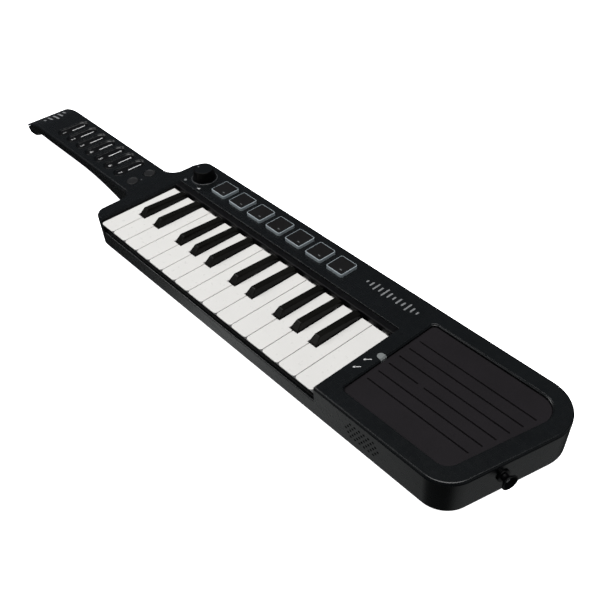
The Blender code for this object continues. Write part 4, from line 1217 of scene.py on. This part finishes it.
def make_strap_button(material):
    """A flared button with a deep cone in its face and a wide flange against the wall."""
    end = STRAP_LENGTH
    bore = SCREW_RADIUS + GAP
    cone_foot = end - 3.6 * MM
    corners = [(bore, GAP, 0), (bore, cone_foot - GAP, 0), (2.3 * MM, cone_foot, 0.15 * MM),
               (STRAP_FACE - 0.8 * MM, end, 0.25 * MM), (STRAP_FACE, end - 0.15 * MM, 0.2 * MM),
               (STRAP_FACE, end - 0.9 * MM, 0.3 * MM), (STRAP_NECK, end - 4.4 * MM, 1.2 * MM),
               (STRAP_NECK, 1.8 * MM, 0.3 * MM), (STRAP_FLANGE, 1.5 * MM, 0.3 * MM),
               (STRAP_FLANGE, GAP, 0.15 * MM), (bore, GAP, 0)]
    button = move(turned("strap_button_body", softened(corners)), strap_matrix())
    return finish(button, material, "casing", ["strap_button"])


def make_strap_screw(material):
    """The screw in the button's cone, with a crossed slot in its head."""
    corners = [(0.0, SCREW_TOP, 0), (SCREW_HEAD - 0.45 * MM, SCREW_TOP, 0.3 * MM),
               (SCREW_HEAD, SCREW_TOP - 0.5 * MM, 0.1 * MM), (SCREW_RADIUS, SCREW_TOP - 0.9 * MM, 0),
               (SCREW_RADIUS, SCREW_TIP + 1.5 * MM, 0), (0.0, SCREW_TIP, 0)]
    screw = turned("strap_screw_body", softened(corners), 48)
    cut_cross(screw, 1.2 * MM, 0.26 * MM, SCREW_TOP - 0.8 * MM, SCREW_TOP + MM)
    return finish(move(screw, strap_matrix()), material, "casing", ["strap_screw"])


def make_grille_cloth(material):
    """The cloth stretched behind the grille's holes."""
    half_width = (max(GRILLE_ROWS) + 1) / 2 * GRILLE_PITCH
    half_height = (len(GRILLE_ROWS) + 1) / 2 * GRILLE_ROW_PITCH
    outline = rectangle(GRILLE_X - half_width, GRILLE_X + half_width, GRILLE_Z - half_height,
                        GRILLE_Z + half_height, 3 * MM)
    back = BODY_FRONT + WALL + drawn_in(GRILLE_Z - half_height) + 0.55 * MM
    cloth = slab("grille_cloth_sheet", outline, -back, -back + 0.35 * MM)
    return finish(move(cloth, UPRIGHT), material, "casing")


def dress_inner_parts(plastic, resin, cloth, wrap, metal):
    """Gives the parts inside the casing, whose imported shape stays, soft edges and their materials."""
    looks = {"key_frame": plastic, "key_felt": cloth, "key_board": resin, "main_board": resin,
             "neck_board": resin, "battery_pack": wrap, "knob_encoder": metal, "speaker": metal,
             "usb_socket": metal}
    for name, material in looks.items():
        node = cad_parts[name]
        node.data.materials.clear()
        node.data.materials.append(material)
        soften(node, 0.25 * MM, 2)


# ---- prints on the casing

def bar_outline(x, y, half_length, half_width, along_x=True):
    """A bar with round ends."""
    across, along = (half_length, half_width) if along_x else (half_width, half_length)
    return rectangle(x - across, x + across, y - along, y + along, half_width * 0.99, 5)


def make_print(name, outline, material, stations=()):
    """A thin printed shape on the panel, which follows the curve of the head."""
    mark = slab(name, outline, PANEL - PRINT, PANEL + PRINT)
    slice_at(mark, stations)
    warp(mark, lambda x, z: z - head_drop(x))
    return finish(mark, material, "casing")


def make_head_bars(material):
    """Five bars on the curved head, the longest in the middle."""
    lengths = (4.6 * MM, 11.5 * MM, 15.5 * MM, 12.5 * MM, 7.4 * MM)
    for number, length in enumerate(lengths, start=1):
        y = (57.9 + 6.3 * (number - 1)) * MM
        x = -219.6 * MM + length / 2 + (3.0 * MM if number == 1 else 0.0)
        outline = bar_outline(x, y, length / 2, 1.05 * MM)
        make_print(f"head_bar_{number}", outline, material, steps_between(-219 * MM, -206 * MM, 10))


def make_sound_bars(material):
    """A plain row of upright bars, as a level meter shows them, behind the keys."""
    heights = (3.0, 6.0, 9.5, 6.5, 11.0, 7.5, 4.5, 8.0, 5.5, 10.0, 6.5, 3.5)
    for number, height in enumerate(heights, start=1):
        x = (241.0 + 5.2 * (number - 1)) * MM
        outline = bar_outline(x, 119 * MM, height / 2 * MM, 0.8 * MM, along_x=False)
        make_print(f"sound_bar_{number}", outline, material)


def make_small_prints(material, bright):
    """The dots, dashes and wedges beside the knob, the lens and the neck buttons."""
    knob = node_middle("volume_knob")
    make_print("knob_mark_low", circle(knob.x - 10.6 * MM, knob.y - 16.2 * MM, 1.5 * MM, 24), material)
    wedge = rounded([(knob.x + 9.6 * MM, knob.y - 17.0 * MM, SMALLEST_RADIUS),
                     (knob.x + 13.2 * MM, knob.y - 17.0 * MM, SMALLEST_RADIUS),
                     (knob.x + 13.2 * MM, knob.y - 14.4 * MM, SMALLEST_RADIUS)], 3)
    make_print("knob_mark_high", wedge, bright)
    slant = Matrix.Rotation(LENS_MARK_TURN, 2)
    for number, start in enumerate(((305.8 * MM, 49.6 * MM), (305.8 * MM, 38.0 * MM)), start=1):
        dash = [Vector(start) + slant @ point for point in bar_outline(4.0 * MM, 0.0, 2.4 * MM, 0.4 * MM)]
        dot = [Vector(start) + slant @ point for point in bar_outline(1.0 * MM, 0.0, 1.1 * MM, 0.75 * MM)]
        make_print(f"lens_mark_{number}_dash", dash, bright)
        make_print(f"lens_mark_{number}_dot", dot, bright)
    make_print("neck_dot", circle(-31.6 * MM, 67.4 * MM, 0.55 * MM, 20), material)


# ---- stage, light and camera

def make_floor(material):
    """A pale light table. The camera sees it, and the object is lit and mirrored by the studio instead."""
    half = 8.0
    floor = slab("floor", rectangle(-half, half, -half, half), -0.02, 0.0)
    floor.data.materials.append(material)
    floor.visible_glossy = False
    floor.visible_diffuse = False


def make_world():
    """A dim studio above the horizon and, below it, reflectors with a dark gap at the left."""
    world = bpy.data.worlds.new("studio")
    world.use_nodes = True
    tree = world.node_tree
    split = add(tree, "SeparateXYZ")
    tree.links.new(add(tree, "TexCoord").outputs["Generated"], split.inputs[0])
    across = add(tree, "MapRange", {"From Min": -1.0, "From Max": 1.0})
    tree.links.new(split.outputs["X"], across.inputs["Value"])
    front = reflectors(tree, across.outputs["Result"], FRONT_REFLECTORS)
    rear = reflectors(tree, across.outputs["Result"], REAR_REFLECTORS)
    below = fade_between(tree, split.outputs["Y"], -0.25, -0.05, front, rear)
    above = add(tree, "RGB").outputs[0]
    above.default_value = (STUDIO_ABOVE * 0.92, STUDIO_ABOVE * 0.97, STUDIO_ABOVE * 1.08, 1.0)
    tree.links.new(fade_between(tree, split.outputs["Z"], -0.50, -0.30, below, above),
                   tree.nodes["Background"].inputs["Color"])
    bpy.context.scene.world = world


def reflectors(tree, across, stops):
    """Levels of light from left to right, given as (direction along X, level)."""
    ramp = add(tree, "ValToRGB")
    tree.links.new(across, ramp.inputs["Fac"])
    for place, _ in stops[1:-1]:
        ramp.color_ramp.elements.new((place + 1) / 2)
    for element, (_, level) in zip(ramp.color_ramp.elements, stops):
        element.color = (level * 0.97, level, level, 1.0)
    return ramp.outputs["Color"]


def fade_between(tree, direction, start, end, first, second):
    """Fades from one colour to another along a direction."""
    share = add(tree, "MapRange", {"From Min": start, "From Max": end})
    tree.links.new(direction, share.inputs["Value"])
    both = add(tree, "Mix", data_type="RGBA")
    tree.links.new(share.outputs["Result"], both.inputs[0])
    tree.links.new(first, both.inputs[6])
    tree.links.new(second, both.inputs[7])
    return both.outputs[2]


def make_sun(name, source, strength, width):
    """A very wide sun, as even as a large soft lamp."""
    lamp = bpy.data.lights.new(name, "SUN")
    lamp.energy = strength
    lamp.angle = math.radians(width)
    sun = add_object(name, lamp)
    sun.rotation_euler = (-Vector(source)).to_track_quat("-Z", "Y").to_euler()


def make_softbox(name, place, target, size, power):
    lamp = bpy.data.lights.new(name, "AREA")
    lamp.shape = "RECTANGLE"
    lamp.size, lamp.size_y = size
    lamp.energy = power
    box = add_object(name, lamp)
    box.location = place
    box.rotation_euler = (Vector(target) - Vector(place)).to_track_quat("-Z", "Y").to_euler()


def make_camera():
    data = bpy.data.cameras.new("camera")
    data.sensor_width = 36.0
    data.lens = CAMERA_LENS
    data.clip_start = 0.02
    data.clip_end = 60.0
    camera = add_object("camera", data)
    camera.location = ORIGIN + CAMERA_PLACE
    camera.rotation_euler = CAMERA_TURN
    bpy.context.scene.camera = camera


# ---- the whole object

shell = shell_plastic()
trim = trim_plastic()
knob_black = knob_plastic()
metal = bright_metal()
ink = print_ink()
bright = bright_ink()

make_top_cover(shell)
make_bottom_case(shell)
make_battery_door(shell)
make_feet(foot_rubber())
make_case_screws(dark_metal())
ivory = ivory_plastic()
for number, key_name in enumerate(WHITE_KEYS):
    make_white_key(number, key_name, ivory)
ebony = ebony_plastic()
for key_name, key_centre in zip(BLACK_KEYS, BLACK_CENTRES):
    make_black_key(key_name, key_centre, ebony)
make_key_trim(trim)
clear, pad_top = silicone(), pad_rubber()
for pad_name in PADS:
    make_pad(pad_name, clear, pad_top, ink)
slit_light = light_plastic()
for number, button_name in enumerate(CHORD_BUTTONS, start=1):
    make_chord_button(button_name, number, trim, slit_light, bright)
round_cap = button_plastic()
for button_name in ROUND_BUTTONS:
    make_round_button(button_name, round_cap)
make_knob(knob_black, knob_disc_plastic(), ink)
make_knob_ring(ring_plastic())
make_strum_plate(mat_rubber())
make_lens(lens_plastic())
make_strap_button(knob_black)
make_strap_screw(metal)
make_grille_cloth(grille_cloth())
dress_inner_parts(frame_plastic(), board_resin(), felt_cloth(), battery_wrap(), metal)
make_head_bars(ink)
make_sound_bars(ink)
make_small_prints(ink, bright)

make_floor(pale_floor())
make_world()
make_sun("key_light", *SUN)
make_softbox("rim_light", *RIM_BOX)
make_softbox("edge_light", *EDGE_BOX)
make_camera()
bpy.context.scene.view_settings.view_transform = "Standard"
